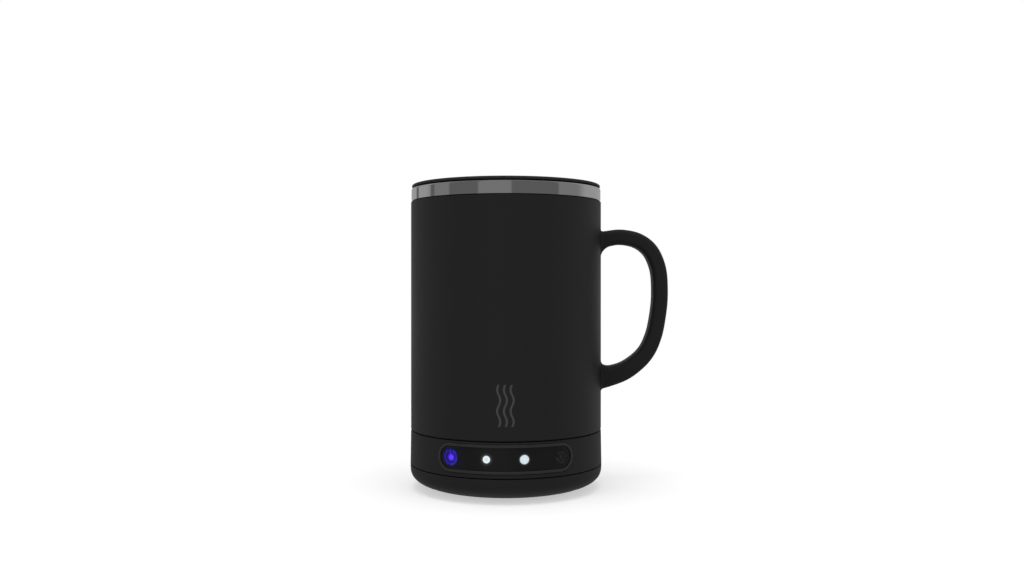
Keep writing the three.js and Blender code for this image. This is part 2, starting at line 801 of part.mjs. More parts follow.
function panelFace() {
  const face = wrappedBar(faceBack, faceRadius, panelFaceHeight, panelFaceHalf);
  const [near, far] = [faceBack - cutOverrun, faceRadius + cutOverrun];
  const keys = [powerAngle, modeAngle].map((azimuth) => ({ azimuth, radius: keyRadius }));
  const holes = [...keys, ...windows].map(({ azimuth, radius }) => (
    outwards(post(radius + fitGap, 0, 0, near, far, pinSides), azimuth, panelZ)));
  return cut(face, ...holes);
}

function panelBezel() {
  const plate = wrappedBar(bezelBack, bezelRadius, panelFaceHeight, panelFaceHalf);
  const [near, far] = [bezelBack - cutOverrun, bezelRadius + cutOverrun];
  const opening = wrappedBar(near, far, panelFaceHeight - 2 * bezelWidth, panelFaceHalf - bezelWidth);
  return cut(plate, opening);
}

function key(azimuth) {
  return outwards(turned([
    [0, keyFlangeInner],
    [keyRadius + keyFlange, keyFlangeInner],
    [keyRadius + keyFlange, keyFlangeOuter],
    [keyRadius, keyFlangeOuter],
    [keyRadius, faceRadius],
    [0, faceRadius],
  ], pinSides), azimuth, panelZ);
}

function plunger(azimuth) {
  return outwards(post(plungerRadius, 0, 0, plungerFoot, plungerTop, pinSides), azimuth, panelZ);
}

function tactSwitch(azimuth) {
  const half = switchWidth / 2;
  const body = outwards(block([-half, -half, switchFoot], [half, half, switchTop]), azimuth, panelZ);
  const wellFoot = plungerFoot - keyTravel - fitGap;
  const well = post(plungerRadius + fitGap, 0, 0, wellFoot, switchTop + cutOverrun, pinSides);
  return cut(body, outwards(well, azimuth, panelZ));
}

function ledWindow({ azimuth, radius }) {
  return outwards(post(radius, 0, 0, ledTop + fitGap, faceRadius, pinSides), azimuth, panelZ);
}

function led({ azimuth }) {
  const half = ledWidth / 2;
  return outwards(block([-half, -half, flexOuter + fitGap], [half, half, ledTop]), azimuth, panelZ);
}

function panelBoard() {
  return ringSegment(flexInner, flexOuter, panelZ - flexHeight / 2, panelZ + flexHeight / 2,
    frontAngle - flexHalfAngle, frontAngle + flexHalfAngle, 12);
}

function outerShell() {
  const tongueOuter = bandInner - fitGap;
  const tongueInner = tongueOuter - sleeveTongueWall;
  const tongueTopZ = sleeveTopZ + sleeveTongueHeight;
  const tongueRootZ = sleeveTopZ - sleeveTongueWall;
  const shell = turned([
    [sleeveInner, 0],
    ...arc(bodyRadius - sleeveFootEdge, sleeveFootEdge, sleeveFootEdge, sleeveFootEdge, -90, 0, 2),
    [bodyRadius, sleeveTopZ],
    [tongueOuter, sleeveTopZ],
    [tongueOuter, tongueTopZ],
    [tongueInner, tongueTopZ],
    [tongueInner, tongueRootZ],
    [sleeveInner, tongueRootZ - (sleeveInner - tongueInner)],
    [sleeveInner, ledgeTopZ],
    [ledgeInner, ledgeTopZ],
    [ledgeInner, ledgeBottomZ],
    [sleeveInner, ledgeBottomZ],
  ]);
  const handleHoles = [handleScrewHighZ, handleScrewLowZ].map((z) => (
    outwards(post(handleScrewShaft + fitGap, 0, 0, cupOuterRadius, bodyRadius + cutOverrun), 0, z)));
  const socketHoles = socketScrewPlaces.map(([x, y]) => (
    post(smallScrewShaft + fitGap, x, y, ledgeBottomZ - cutOverrun, ledgeTopZ + cutOverrun)));
  return cut(shell, ...handleHoles, ...socketHoles);
}

function steelCup() {
  const mouthReach = bandInner - cupInnerRadius;
  const mouthZ = mugHeight - mouthDrop;
  const cornerZ = cupFloorZ + cupCornerRadius;
  const cornerR = cupInnerRadius - cupCornerRadius;
  return turned([
    [0, cupBottomZ],
    ...arc(cornerR, cornerZ, cupCornerRadius + cupWall, cupCornerRadius + cupWall, -90, 0, 2),
    ...arc(bandInner, mouthZ, cupWall - mouthReach, mouthDrop - cupWall, 0, 90, 3),
    [bandInner, bandBottomZ],
    [bandRadius, bandBottomZ],
    ...arc(bandInner, mugHeight - cupWall, cupWall, cupWall, 0, 90, 2),
    ...arc(bandInner, mouthZ, -mouthReach, mouthDrop, 90, 0, 4).slice(1),
    ...arc(cornerR, cornerZ, cupCornerRadius, cupCornerRadius, 0, -90, 2),
    [0, cupFloorZ],
  ]);
}

function insulation() {
  const inner = cupOuterRadius + fitGap;
  const outer = sleeveInner - screwHeadRoom;
  const low = ledgeTopZ + fitGap;
  const high = mugHeight - insulationTopRoom;
  return turned([[inner, low], [outer, low], [outer, high], [inner, high]]);
}

function contactDisc() {
  return post(contactRadius, 0, 0, contactBottomZ, contactBottomZ + contactThickness, innerSides);
}

// Ring with a J-shaped slot for each pin: straight up from its lower edge, then along by the lock angle.
function bayonetSocket() {
  const ring = turned([
    [socketInner, socketFootRise],
    [socketOuter, socketFootRise],
    [socketOuter, socketTopZ],
    [socketHoleRadius, socketTopZ],
    [socketHoleRadius, socketFloorZ],
    [socketInner, socketFloorZ],
  ]);
  const half = pinRadius + fitGap;
  const halfAngle = THREE.MathUtils.radToDeg(half / socketInner);
  const slotZ = pinZ - mugSeatZ;
  const mouthZ = socketFootRise - cutOverrun;
  const [near, far] = [socketInner - cutOverrun, socketOuter + cutOverrun];
  const slots = pinAngles.flatMap((angle) => {
    const [start, end] = [angle - halfAngle, angle + halfAngle];
    return [
      ringSegment(near, far, mouthZ, slotZ + half, start, end, 2),
      ringSegment(near, far, slotZ - half, slotZ + half, start, end + lockAngle, 4),
    ];
  });
  const under = socketFloorZ - fitGap;
  const sinkTop = socketFloorZ + countersunkHeight + 2 * fitGap;
  const hole = smallScrewShaft + fitGap;
  const sinks = socketScrewPlaces.map(([x, y]) => post(smallScrewHead + fitGap, x, y, under, sinkTop));
  const holes = socketScrewPlaces.map(([x, y]) => post(hole, x, y, under, socketTopZ + cutOverrun));
  return cut(ring, ...slots, ...sinks, ...holes);
}

function handleScrew(z) {
  const headR = sleeveInner - fitGap - handleScrewHeadHeight;
  const shape = screw(handleScrewHead, handleScrewHeadHeight, handleScrewShaft, handleScrewReach, headR);
  return outwards(shape, 0, z);
}

// Places along the grip from the upper root round to the lower one: shares of the reach out from the
// sleeve, of the height between the roots, and of the thickness.
const gripPathShares = [
  [-0.12, 0.972, 1.1],
  [0.1, 0.988, 1.06],
  [0.328, 1, 1.01],
  [0.617, 0.975, 1],
  [0.828, 0.907, 1],
  [0.965, 0.78, 1],
  [1, 0.6, 1],
  [0.972, 0.45, 1],
  [0.887, 0.28, 1.02],
  [0.737, 0.155, 1.06],
  [0.425, 0.044, 1.18],
  [0.107, -0.005, 1.32],
  [-0.12, -0.029, 1.33],
];

// Extra thickness near the sleeve: a quarter-round fillet of the given radius.
function filletAt(distance, radius) {
  const inside = Math.min(Math.max(radius - distance, 0), radius);
  return radius - Math.sqrt(radius ** 2 - inside ** 2);
}

function handle() {
  const span = gripHighZ - gripLowZ;
  // The middle coordinate of the curve carries the thickness.
  const path = gripPathShares.map(([reach, height, thickness]) => (
    new THREE.Vector3(bodyRadius + reach * gripReach, thickness * gripThickness, gripLowZ + height * span)));
  const curve = new THREE.CatmullRomCurve3(path);
  const rings = Array.from({ length: gripStations + 1 }, (_, i) => {
    const t = (1 - Math.cos((Math.PI * i) / gripStations)) / 2;
    const centre = curve.getPoint(t);
    const along = curve.getTangent(t).setY(0).normalize();
    const inward = new THREE.Vector3(along.z, 0, -along.x);
    const distance = centre.x - bodyRadius;
    const half = centre.y / 2;
    const innerHalf = half + filletAt(distance, rootFillet);
    const outerHalf = half + filletAt(distance, rootOuterFillet);
    const sideHalf = gripWidth / 2 + filletAt(distance, rootOuterFillet);
    return Array.from({ length: gripSides }, (_, k) => {
      const angle = (2 * Math.PI * (k + 0.5)) / gripSides;
      const [c, s] = [Math.cos(angle), Math.sin(angle)];
      const across = Math.sign(c) * Math.abs(c) ** (2 / gripRoundness) * (c > 0 ? innerHalf : outerHalf);
      const aside = Math.sign(s) * Math.abs(s) ** (2 / gripRoundness) * sideHalf;
      return new THREE.Vector3(centre.x + inward.x * across, aside, centre.z + inward.z * across);
    });
  });
  const keepOut = bodyRadius + fitGap;
  const sleeve = turned([[0, -cutOverrun], [keepOut, -cutOverrun], [keepOut, mugHeight], [0, mugHeight]]);
  const pilotEnd = sleeveInner + handleScrewReach + fitGap;
  const pilots = [handleScrewHighZ, handleScrewLowZ].map((z) => (
    outwards(post(handleScrewShaft + fitGap, 0, 0, bodyRadius, pilotEnd), 0, z)));
  return cut(loft(rings), sleeve, ...pilots);
}

// Lid radii follow the cup's bore: ribs, groove floor, skirt.
const ribRadius = cupInnerRadius - ribPlay;
const grooveRadius = ribRadius - ribHeight;
const sealInner = grooveRadius - sealThickness;
const skirtOuter = sealInner - fitGap;
const skirtInner = skirtOuter - skirtWall;
const coveEndZ = -(mouthDrop + fitGap);

function lidBody() {
  const edgeR = lidRadius - flangeEdge;
  const edgeZ = flangeThickness / 2;
  const coveR = bandInner - fitGap / 2;
  const skirtBottomZ = -plugDepth + skirtLipCover;
  return turned([
    [0, flangeThickness - lidTopThickness],
    [0, flangeThickness],
    ...arc(edgeR, edgeZ, flangeEdge, edgeZ, 90, -90, 3),
    ...arc(coveR, coveEndZ, grooveRadius - coveR, -coveEndZ, 70, 0, 3),
    [skirtOuter, coveEndZ],
    [skirtOuter, skirtBottomZ],
    [skirtInner, skirtBottomZ],
    [skirtInner, flangeThickness - lidTopThickness],
  ]);
}

function lidSeal() {
  const ribs = Array.from({ length: ribCount }, (_, i) => {
    const z = -firstRibDrop - i * ribPitch;
    const rise = ribPitch / 3;
    return [[grooveRadius, z + rise], [ribRadius, z], [grooveRadius, z - rise]];
  }).flat();
  const top = coveEndZ - fitGap;
  return turned([
    [sealInner, top],
    [grooveRadius, top],
    ...ribs,
    ...arc(ribRadius - plugLip, -plugDepth + plugLip, plugLip - ribHeight, plugLip, -20, -90, 2),
    [skirtInner - plugEdge, -plugDepth],
    [skirtInner - plugEdge, -plugDepth + skirtLipCover - fitGap],
    [sealInner, -plugDepth + skirtLipCover - fitGap],
  ]);
}

function coverScrew([x, y]) {
  return screw(screwHead, screwHeadHeight, screwShaft, coverScrewReach, coverScrewHeadZ).translate(x, y, 0);
}

function smallScrew([x, y], headHeight, reach, headZ) {
  return screw(smallScrewHead, headHeight, smallScrewShaft, reach, headZ).translate(x, y, 0);
}

function boardScrew(place) {
  const headZ = boardBottomZ - fitGap - smallScrewHeadHeight;
  return smallScrew(place, smallScrewHeadHeight, boardScrewReach, headZ);
}

function heaterScrew(place) {
  return smallScrew(place, smallScrewHeadHeight, heaterScrewReach - smallScrewHeadHeight, heaterScrewHeadZ);
}

function socketScrew(place) {
  const reach = socketFloorThickness + socketScrewReach - countersunkHeight;
  return smallScrew(place, countersunkHeight, reach, socketFloorZ + fitGap);
}

function thermistor() {
  const top = elementBottomZ - fitGap;
  return post(thermistorRadius, 0, 0, top - thermistorHeight, top);
}

function numbered(name, places, make, finish) {
  return places.map((place, i) => part(`${name}_${i + 1}`, make(place), finish));
}

const base = group(0,
  part('base_housing', baseHousing(), 'blackPlastic'),
  part('bottom_cover', bottomCover(), 'blackPlastic'),
  part('foot_pad', footPad(), 'silicone'),
  ...numbered('cover_screw', coverScrewPlaces, coverScrew, 'brushedSteel'),
  ...numbered('bayonet_pin', pinAngles, bayonetPin, 'blackPlastic'),
  part('neck_seal', neckSeal(), 'silicone'),
  part('panel_face', panelFace(), 'glossBlack'),
  part('panel_bezel', panelBezel(), 'bezelBlack'),
  part('power_button', key(powerAngle), 'blueGlow'),
  part('mode_button', key(modeAngle), 'glossBlack'),
  part('power_plunger', plunger(powerAngle), 'innerPlastic'),
  part('mode_plunger', plunger(modeAngle), 'innerPlastic'),
  part('power_switch', tactSwitch(powerAngle), 'chipBlack'),
  part('mode_switch', tactSwitch(modeAngle), 'chipBlack'),
  ...numbered('led_window', windows, ledWindow, 'whiteGlow'),
  ...numbered('led', windows, led, 'whiteGlow'),
  part('panel_board', panelBoard(), 'circuitBoard'),
  part('charge_port', chargePort(), 'nickel'),
  part('main_board', mainBoard(), 'circuitBoard'),
  ...numbered('board_screw', boardScrewPlaces, boardScrew, 'brushedSteel'),
  ...numbered('battery_cell', [-1, 1], batteryCell, 'cellWrap'),
  part('battery_holder', batteryHolder(), 'innerPlastic'),
  part('cell_link', cellLink(), 'nickel'),
  part('battery_lead_1', batteryLead(-1), 'blackWire'),
  part('battery_lead_2', batteryLead(1), 'redWire'),
  part('heater_plate', heaterPlate(), 'paleHeater'),
  part('heater_ring', heaterRing(), 'polishedSteel'),
  part('heating_element', heatingElement(), 'mica'),
  part('thermistor', thermistor(), 'chipBlack'),
  part('heater_carrier', heaterCarrier(), 'innerPlastic'),
  part('heat_shield', heatShield(), 'aluminium'),
  ...numbered('heater_screw', heaterScrewPlaces, heaterScrew, 'brushedSteel'),
  ...numbered('heater_lead', [-1, 1], heaterLead, 'redWire'));

const mug = group(mugSeatZ,
  part('outer_shell', outerShell(), 'blackPlastic'),
  part('steel_cup', steelCup(), 'polishedSteel'),
  part('handle', handle(), 'gripPlastic'),
  ...numbered('handle_screw', [handleScrewHighZ, handleScrewLowZ], handleScrew, 'brushedSteel'),
  part('insulation', insulation(), 'foam'),
  part('contact_disc', contactDisc(), 'aluminium'),
  part('bayonet_socket', bayonetSocket(), 'innerPlastic'),
  ...numbered('socket_screw', socketScrewPlaces, socketScrew, 'brushedSteel'));

const lid = group(lidSeatZ,
  part('lid_body', lidBody(), 'blackPlastic'),
  part('lid_seal', lidSeal(), 'silicone'));

const selfHeatingMug = new THREE.Group();
selfHeatingMug.add(base, mug, lid);

export default selfHeatingMug;
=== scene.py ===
from math import atan2, copysign, cos, pi, radians, sin, sqrt, tan

import bmesh
import bpy
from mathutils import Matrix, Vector


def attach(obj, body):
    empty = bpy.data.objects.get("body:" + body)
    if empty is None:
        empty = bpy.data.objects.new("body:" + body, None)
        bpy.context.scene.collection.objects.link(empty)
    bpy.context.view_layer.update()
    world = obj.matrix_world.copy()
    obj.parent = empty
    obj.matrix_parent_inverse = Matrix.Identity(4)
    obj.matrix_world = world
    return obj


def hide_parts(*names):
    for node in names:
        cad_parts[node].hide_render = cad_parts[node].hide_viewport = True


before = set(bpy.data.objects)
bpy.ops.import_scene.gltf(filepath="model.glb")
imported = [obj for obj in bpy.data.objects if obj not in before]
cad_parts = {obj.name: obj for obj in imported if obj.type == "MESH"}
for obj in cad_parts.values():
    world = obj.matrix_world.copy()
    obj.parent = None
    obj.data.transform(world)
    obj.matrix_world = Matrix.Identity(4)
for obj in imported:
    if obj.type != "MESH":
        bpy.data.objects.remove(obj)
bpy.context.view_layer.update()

# Sizes are in millimetres, with the table at height 0 and the handle towards +X.
MM = 0.001
SIDES = 144

SLEEVE_RADIUS = 42
SLEEVE_FOOT = 25.5
BASE_RADIUS = 42.2
SEAM_HEIGHT = 10.3
SHOULDER = 25.2
NECK_RADIUS = 38.9
NECK_TOP = 31.5
PIN_RADIUS = 1.5
PIN_HEIGHT = 29.4
PIN_AZIMUTHS = (-90, 0, 90, 180)
LOCK_ANGLE = 20
BOLT_PLACES = ((29.02, 21.8), (-29.02, 21.8), (-29.02, -21.8), (29.02, -21.8))

FACE_RADIUS = 41.75
PANEL_HEIGHT = 18.3
PANEL_REACH = 30.01
PANEL_RISE = 5.95
KEY_ANGLE = 32
KEY_RADIUS = 3.22
LIGHT_ANGLE = 10.6
LIGHT_RADII = (1.55, 2)
PLATE_RADIUS = 23.8
PLATE_TOP = 33.8
PORT_HEIGHT = 20.7


def deselect():
    bpy.ops.object.select_all(action="DESELECT")


def pick(piece):
    """Makes one piece the only selected and active one."""
    deselect()
    piece.select_set(True)
    bpy.context.view_layer.objects.active = piece
    return piece


def added(name):
    piece = pick(bpy.context.active_object)
    piece.name = name
    piece.data.name = name
    return piece


def settle(piece):
    """Writes the piece's place, turn and size into its mesh."""
    pick(piece)
    bpy.ops.object.transform_apply(location=True, rotation=True, scale=True)
    return piece


def moved(piece, x, y, z):
    piece.location = (x * MM, y * MM, z * MM)
    return settle(piece)


def edit():
    bpy.ops.object.mode_set(mode="EDIT")


def select_all():
    bpy.ops.mesh.select_all(action="SELECT")


def face_outwards():
    """Turns all faces of the edited mesh outwards and leaves edit mode."""
    select_all()
    bpy.ops.mesh.normals_make_consistent(inside=False)
    bpy.ops.object.mode_set(mode="OBJECT")


def shaped(piece, kind, **settings):
    """Adds a modifier, sets it and applies it."""
    pick(piece)
    modifier = piece.modifiers.new(kind.title(), kind)
    for name, value in settings.items():
        setattr(modifier, name, value)
    bpy.ops.object.modifier_apply(modifier=modifier.name)
    return piece


def choose(piece, wanted):
    """Selects the vertices of the piece in edit mode that pass a test of their place."""
    bpy.ops.mesh.select_mode(type="VERT")
    bpy.ops.mesh.select_all(action="DESELECT")
    mesh = bmesh.from_edit_mesh(piece.data)
    for vertex in mesh.verts:
        vertex.select = wanted(vertex.co / MM)
    mesh.select_flush_mode()
    bmesh.update_edit_mesh(piece.data)


def smoothed(piece, angle):
    """Smooth shading that keeps edges sharper than the angle, with flat faces left flat."""
    pick(piece)
    bpy.ops.object.shade_smooth_by_angle(angle=radians(angle))
    shaped(piece, "WEIGHTED_NORMAL", keep_sharp=True)


def arc(centre_r, centre_z, reach_r, reach_z, start, end, steps=8):
    """Points of an arc in the profile plane between two angles in degrees."""
    angles = [radians(start + (end - start) * i / steps) for i in range(steps + 1)]
    return [(centre_r + reach_r * cos(a), centre_z + reach_z * sin(a)) for a in angles]


def eased(*corners, steps=4):
    """Closed outline from [radius, height, rounding] corners, with an arc at each rounded one."""
    points = []
    for i, corner in enumerate(corners):
        here = Vector(corner[:2])
        rounding = corner[2] if len(corner) > 2 else 0
        if not rounding:
            points.append(tuple(here))
            continue
        back = (Vector(corners[i - 1][:2]) - here).normalized()
        ahead = (Vector(corners[(i + 1) % len(corners)][:2]) - here).normalized()
        half = back.angle(ahead) / 2
        reach = rounding / tan(half)
        centre = here + (back + ahead).normalized() * (rounding / sin(half))
        first, last = here + back * reach - centre, here + ahead * reach - centre
        turns = [first.slerp(last, k / steps).normalized() for k in range(steps + 1)]
        points += [tuple(centre + turn * rounding) for turn in turns]
    return points


def turned(name, profile, sides=SIDES):
    """Round piece: a line through [radius, height] points, spun about the upright axis.

    A line that doesn't start on the axis is closed first.
    """
    line = [*profile, profile[0]] if profile[0][0] else profile
    deselect()
    bpy.ops.mesh.primitive_plane_add(size=MM)
    piece = added(name)
    edit()
    bpy.ops.mesh.merge(type="CENTER")
    bpy.ops.transform.translate(value=(line[0][0] * MM, 0, line[0][1] * MM))
    for (r, z), (next_r, next_z) in zip(line, line[1:]):
        step = ((next_r - r) * MM, 0, (next_z - z) * MM)
        bpy.ops.mesh.extrude_vertices_move(TRANSFORM_OT_translate={"value": step})
    select_all()
    bpy.ops.mesh.spin(steps=sides, angle=2 * pi, center=(0, 0, 0), axis=(0, 0, 1))
    select_all()
    bpy.ops.mesh.remove_doubles(threshold=0.002 * MM)
    face_outwards()
    return piece


def outwards(piece, azimuth, height):
    """Points a piece turned along the upright axis outwards, at an azimuth in degrees."""
    piece.rotation_euler = (0, pi / 2, radians(azimuth))
    return moved(piece, 0, 0, height)


def obround(name, half_length, half_height, facing=-1):
    """Flat plate with round ends, facing the front (-1) or the back (1)."""
    deselect()
    bpy.ops.mesh.primitive_circle_add(vertices=64, radius=half_height * MM, fill_type="NGON",
                                      rotation=(-facing * pi / 2, 0, 0))
    piece = settle(added(name))
    edit()
    for side in (-1, 1):
        choose(piece, lambda place: place.x * side > 0.001)
        bpy.ops.transform.translate(value=(side * (half_length - half_height) * MM, 0, 0))
    bpy.ops.object.mode_set(mode="OBJECT")
    return piece


def thickened(piece, y, z, thickness):
    """Moves a flat piece to its place and thickens it inwards."""
    return shaped(moved(piece, 0, y, z), "SOLIDIFY", thickness=thickness * MM, offset=-1)


def wrapped(piece, pitch=1.5):
    """Bends a flat piece round the upright axis so that it lies at the front of the base."""
    pick(piece)
    places = [vertex.co.x for vertex in piece.data.vertices]
    low, high = min(places), max(places)
    columns = max(int((high - low) / (pitch * MM)), 1)
    edit()
    for i in range(1, columns):
        select_all()
        place = low + (high - low) * i / columns
        bpy.ops.mesh.bisect(plane_co=(place, 0, 0), plane_no=(1, 0, 0))
    bpy.ops.object.mode_set(mode="OBJECT")
    shaped(piece, "SIMPLE_DEFORM", deform_method="BEND", deform_axis="Z",
           angle=(high - low) / (FACE_RADIUS * MM))
    return moved(piece, 0, -FACE_RADIUS, 0)


def on_face(piece, offset):
    """Lays a piece turned along the upright axis on the panel, at an angle from its middle."""
    piece.rotation_euler = (pi / 2, 0, 0)
    return wrapped(moved(piece, radians(offset) * FACE_RADIUS, FACE_RADIUS, PANEL_HEIGHT), 0.8)


def disc(name, radius, low, high, sides=48):
    return turned(name, [(0, low), (radius, low), (radius, high), (0, high)], sides)


def carved(piece, *tools, operation="DIFFERENCE"):
    """Cuts the tools out of the piece, or joins them to it, and deletes them."""
    for tool in tools:
        shaped(piece, "BOOLEAN", object=tool, operation=operation, solver="EXACT")
        pick(tool)
        bpy.ops.object.delete()
    return pick(piece)


def repeated(piece, name, angle, x, y, z):
    """Copy of a piece with its own mesh, turned about the upright axis and moved."""
    pick(piece)
    bpy.ops.object.duplicate()
    copy = added(name)
    copy.rotation_euler = (0, 0, radians(angle))
    return moved(copy, x, y, z)


def slab(name, low, high):
    """Upright block between two corners, as a tool for cutting."""
    deselect()
    bpy.ops.mesh.primitive_cube_add(size=1)
    piece = added(name)
    piece.scale = [(b - a) * MM for a, b in zip(low, high)]
    return moved(piece, *[(a + b) / 2 for a, b in zip(low, high)])


# Finishes

def shade(*levels):
    """Linear colour from screen levels of 0 to 255; one level makes a grey."""
    levels = levels * 3 if len(levels) == 1 else levels
    parts = [level / 255 for level in levels]
    linear = [((p + 0.055) / 1.055) ** 2.4 if p > 0.04045 else p / 12.92 for p in parts]
    return (*linear, 1)


class Field:
    """A number that changes over a surface; sums on it add Math nodes."""

    def __init__(self, finish, socket):
        self.finish = finish
        self.socket = socket

    def sum(self, operation, *values):
        return self.finish.node("Math", dict(enumerate(values)), operation=operation)

    def __add__(self, other):
        return self.sum("ADD", self, other)

    def __sub__(self, other):
        return self.sum("SUBTRACT", self, other)

    def __rsub__(self, other):
        return self.sum("SUBTRACT", other, self)

    def __mul__(self, other):
        return self.sum("MULTIPLY", self, other)

    def __truediv__(self, other):
        return self.sum("DIVIDE", self, other)

    def __pow__(self, other):
        return self.sum("POWER", self, other)

    def __abs__(self):
        return self.sum("ABSOLUTE", self)

    __radd__ = __add__
    __rmul__ = __mul__

    def between(self, low, high):
        """0 at the low value and 1 at the high one, with soft ends."""
        return self.finish.node("MapRange", {"Value": self, "From Min": low, "From Max": high},
                                interpolation_type="SMOOTHSTEP")

    def within(self, low, high):
        """1 at the low value and 0 at the high one, with soft ends."""
        return 1 - self.between(low, high)


class Finish:
    """One material, or the world, made node by node round its main shader."""

    def __init__(self, name, sockets=None, kind=bpy.data.materials, shader="Principled BSDF"):
        self.material = kind.new(name)
        self.material.use_nodes = True
        self.tree = self.material.node_tree
        self.shader = self.tree.nodes[shader]
        self.place = self.node("TexCoord", out="Object")
        self.set(sockets or {})

    def node(self, kind, sockets=None, out=0, **settings):
        """Adds a shader node and gives one of its outputs."""
        made = self.tree.nodes.new("ShaderNode" + kind)
        for name, value in settings.items():
            setattr(made, name, value)
        self.fill(made, sockets or {})
        return Field(self, made.outputs[out])

    def fill(self, made, sockets):
        for name, value in sockets.items():
            if isinstance(value, Field):
                self.tree.links.new(value.socket, made.inputs[name])
            else:
                made.inputs[name].default_value = value

    def set(self, sockets):
        self.fill(self.shader, sockets)

    def axes(self):
        """The place in millimetres along each axis."""
        parts = self.node("SeparateXYZ", {0: self.place}).socket.node
        return [Field(self, socket) * (1 / MM) for socket in parts.outputs]

    def noise(self, size, detail=2, roughness=0.5, place=None):
        """Cloudy pattern with spots of about a size in millimetres."""
        return self.node("TexNoise", {"Vector": place or self.place, "Scale": 1 / (size * MM),
                                      "Detail": detail, "Roughness": roughness})

    def cells(self, size):
        """Distance from the nearest of scattered points, about a size in millimetres apart."""
        return self.node("TexVoronoi", {"Vector": self.place, "Scale": 1 / (size * MM)},
                         "Distance")

    def stretched(self, x, y, z):
        """The place with each axis scaled, for patterns that run one way."""
        return self.node("Mapping", {"Vector": self.place, "Scale": (x, y, z)})

    def tint(self, share, low, high):
        """Mix of two colours."""
        return self.node("Mix", {0: share, 6: low, 7: high}, 2, data_type="RGBA")

    def relief(self, height, depth):
        """Bumps of a depth in millimetres."""
        return self.node("Bump", {"Height": height, "Distance": depth * MM})

    def fed(self, name):
        """What feeds an input of the shader so far."""
        return Field(self, self.shader.inputs[name].links[0].from_socket)

    def layered(self, tone, *layers):
        """Colour with others laid over it in turn, each as far as its mask goes."""
        for mask, colour in layers:
            tone = self.tint(mask, tone, colour)
        return tone

    def look(self, colour, roughness, relief=None, metallic=0.0):
        """Sets what most finishes set, and gives the finish."""
        self.set({"Base Color": colour, "Roughness": roughness, "Metallic": metallic})
        if relief:
            self.set({"Normal": relief})
        return self

    def lay(self, *layers):
        self.set({"Base Color": self.layered(self.fed("Base Color"), *layers)})

    def show(self, shader):
        """Shows another shader instead of the main one."""
        output = self.tree.nodes["Material Output"]
        self.tree.links.new(shader.socket, output.inputs["Surface"])


def across(x, y):
    """Distance from the upright axis."""
    return (x * x + y * y) ** 0.5


def moulded(name, level, spread=2, roughness=0.5, grain=0.17, depth=0.012,
            colour=(1, 1, 1), shine=0.2):
    """Moulded plastic or rubber: a fine grain, and a soft unevenness in tone and gloss."""
    finish = Finish(name, {"Specular IOR Level": shine})
    cloud = finish.noise(16, 3)
    grit = finish.noise(grain, 2)
    share = cloud * 0.6 + grit * 0.4
    low, high = [shade(*[(level + side * spread) * part for part in colour]) for side in (-1, 1)]
    return finish.look(finish.tint(share, low, high),
                       roughness - 0.05 + cloud * 0.06 + grit * 0.05, finish.relief(grit, depth))


def metal(name, colour, roughness, lines=0.12, depth=0.002, upright=True, spread=0.06):
    """Metal with fine lines left by turning it."""
    finish = Finish(name)
    if upright:
        fine = finish.noise(lines, 2, 0.5, finish.stretched(0.02, 0.02, 1))
    else:
        x, y, _ = finish.axes()
        fine = finish.node("TexNoise", {"W": across(x, y), "Scale": 1 / lines, "Detail": 2.0},
                           noise_dimensions="1D")
    cloud = finish.noise(9, 2)
    return finish.look(finish.tint(fine, shade(*[part - 6 for part in colour]), shade(*colour)),
                       roughness + fine * spread + cloud * spread / 2,
                       finish.relief(fine, depth), 1.0)


def cup_finish():
    """Polished steel at the rim, and satin steel inside the cup."""
    finish = metal("polished_steel", (217, 217, 218), 0.025, 0.1, 0.0004, spread=0.02)
    x, y, _ = finish.axes()
    inside = across(x, y).within(35.8, 37.5)
    finish.set({"Roughness": finish.fed("Roughness") + inside * 0.3})
    return finish


def heat_mark(finish):
    """Three wavy warmth lines printed on the sleeve's front."""
    mark_height, half_height = SLEEVE_FOOT + 14.5, 8.6
    wave_length, wave_swing, spacing, half_line = 8.6, 0.62, 2.7, 0.5
    x, y, z = finish.axes()
    rise = z - mark_height
    phase = rise * (2 * pi / wave_length)
    sway = phase.sum("SINE", phase) * wave_swing
    lines = [abs(x - place - sway).within(half_line - 0.14, half_line)
             for place in (-spacing, 0, spacing)]
    covered = lines[0] + lines[1] + lines[2]
    ends = abs(rise).within(half_height - 0.3, half_height)
    return covered * ends * y.within(-1, 0)


def sleeve_finish():
    finish = moulded("black_sleeve", 33, 1.2, 0.52, 0.2)
    finish.lay((heat_mark(finish), shade(68)))
    return finish


def lid_finish():
    """Black lid, with painted light in the hollow of its plug: a little paler there, to lift its
    shade.
    """
    finish = moulded("black_lid", 44, 1.5, 0.58, shine=0.1)
    x, y, z = finish.axes()
    # Painted light: the hollow of the plug is laid a paler grey to lift the shade it lies in.
    finish.lay((across(x, y).within(33, 33.2) * z.within(126.8, 127.8), shade(66)))
    return finish


def pin_finish():
    """Black pin with its outer end a little paler."""
    finish = moulded("black_pin", 17, 1.5, 0.45)
    x, y, _ = finish.axes()
    finish.lay((across(x, y).between(39.6, 40.2), shade(30)))
    return finish


def heater_finish():
    """Pale glazed plate, with a painted highlight round its edge and painted shade on its side."""
    finish = Finish("pale_glaze", {"Coat Weight": 1.0, "Coat Roughness": 0.02,
                                   "Specular IOR Level": 0.1})
    x, y, z = finish.axes()
    cloud = finish.noise(10, 2)
    # Painted highlight: a brighter band round the plate's edge.
    rim = across(x, y).between(PLATE_RADIUS - 1.2, PLATE_RADIUS - 0.2)
    face = finish.layered(finish.tint(cloud, shade(240), shade(246)), (rim, shade(252)))
    # Painted shade: all of the plate below its top face is laid dark.
    on_top = z.between(PLATE_TOP - 0.24, PLATE_TOP - 0.18)
    return finish.look(finish.tint(on_top, shade(22), face), 0.4 + cloud * 0.1)


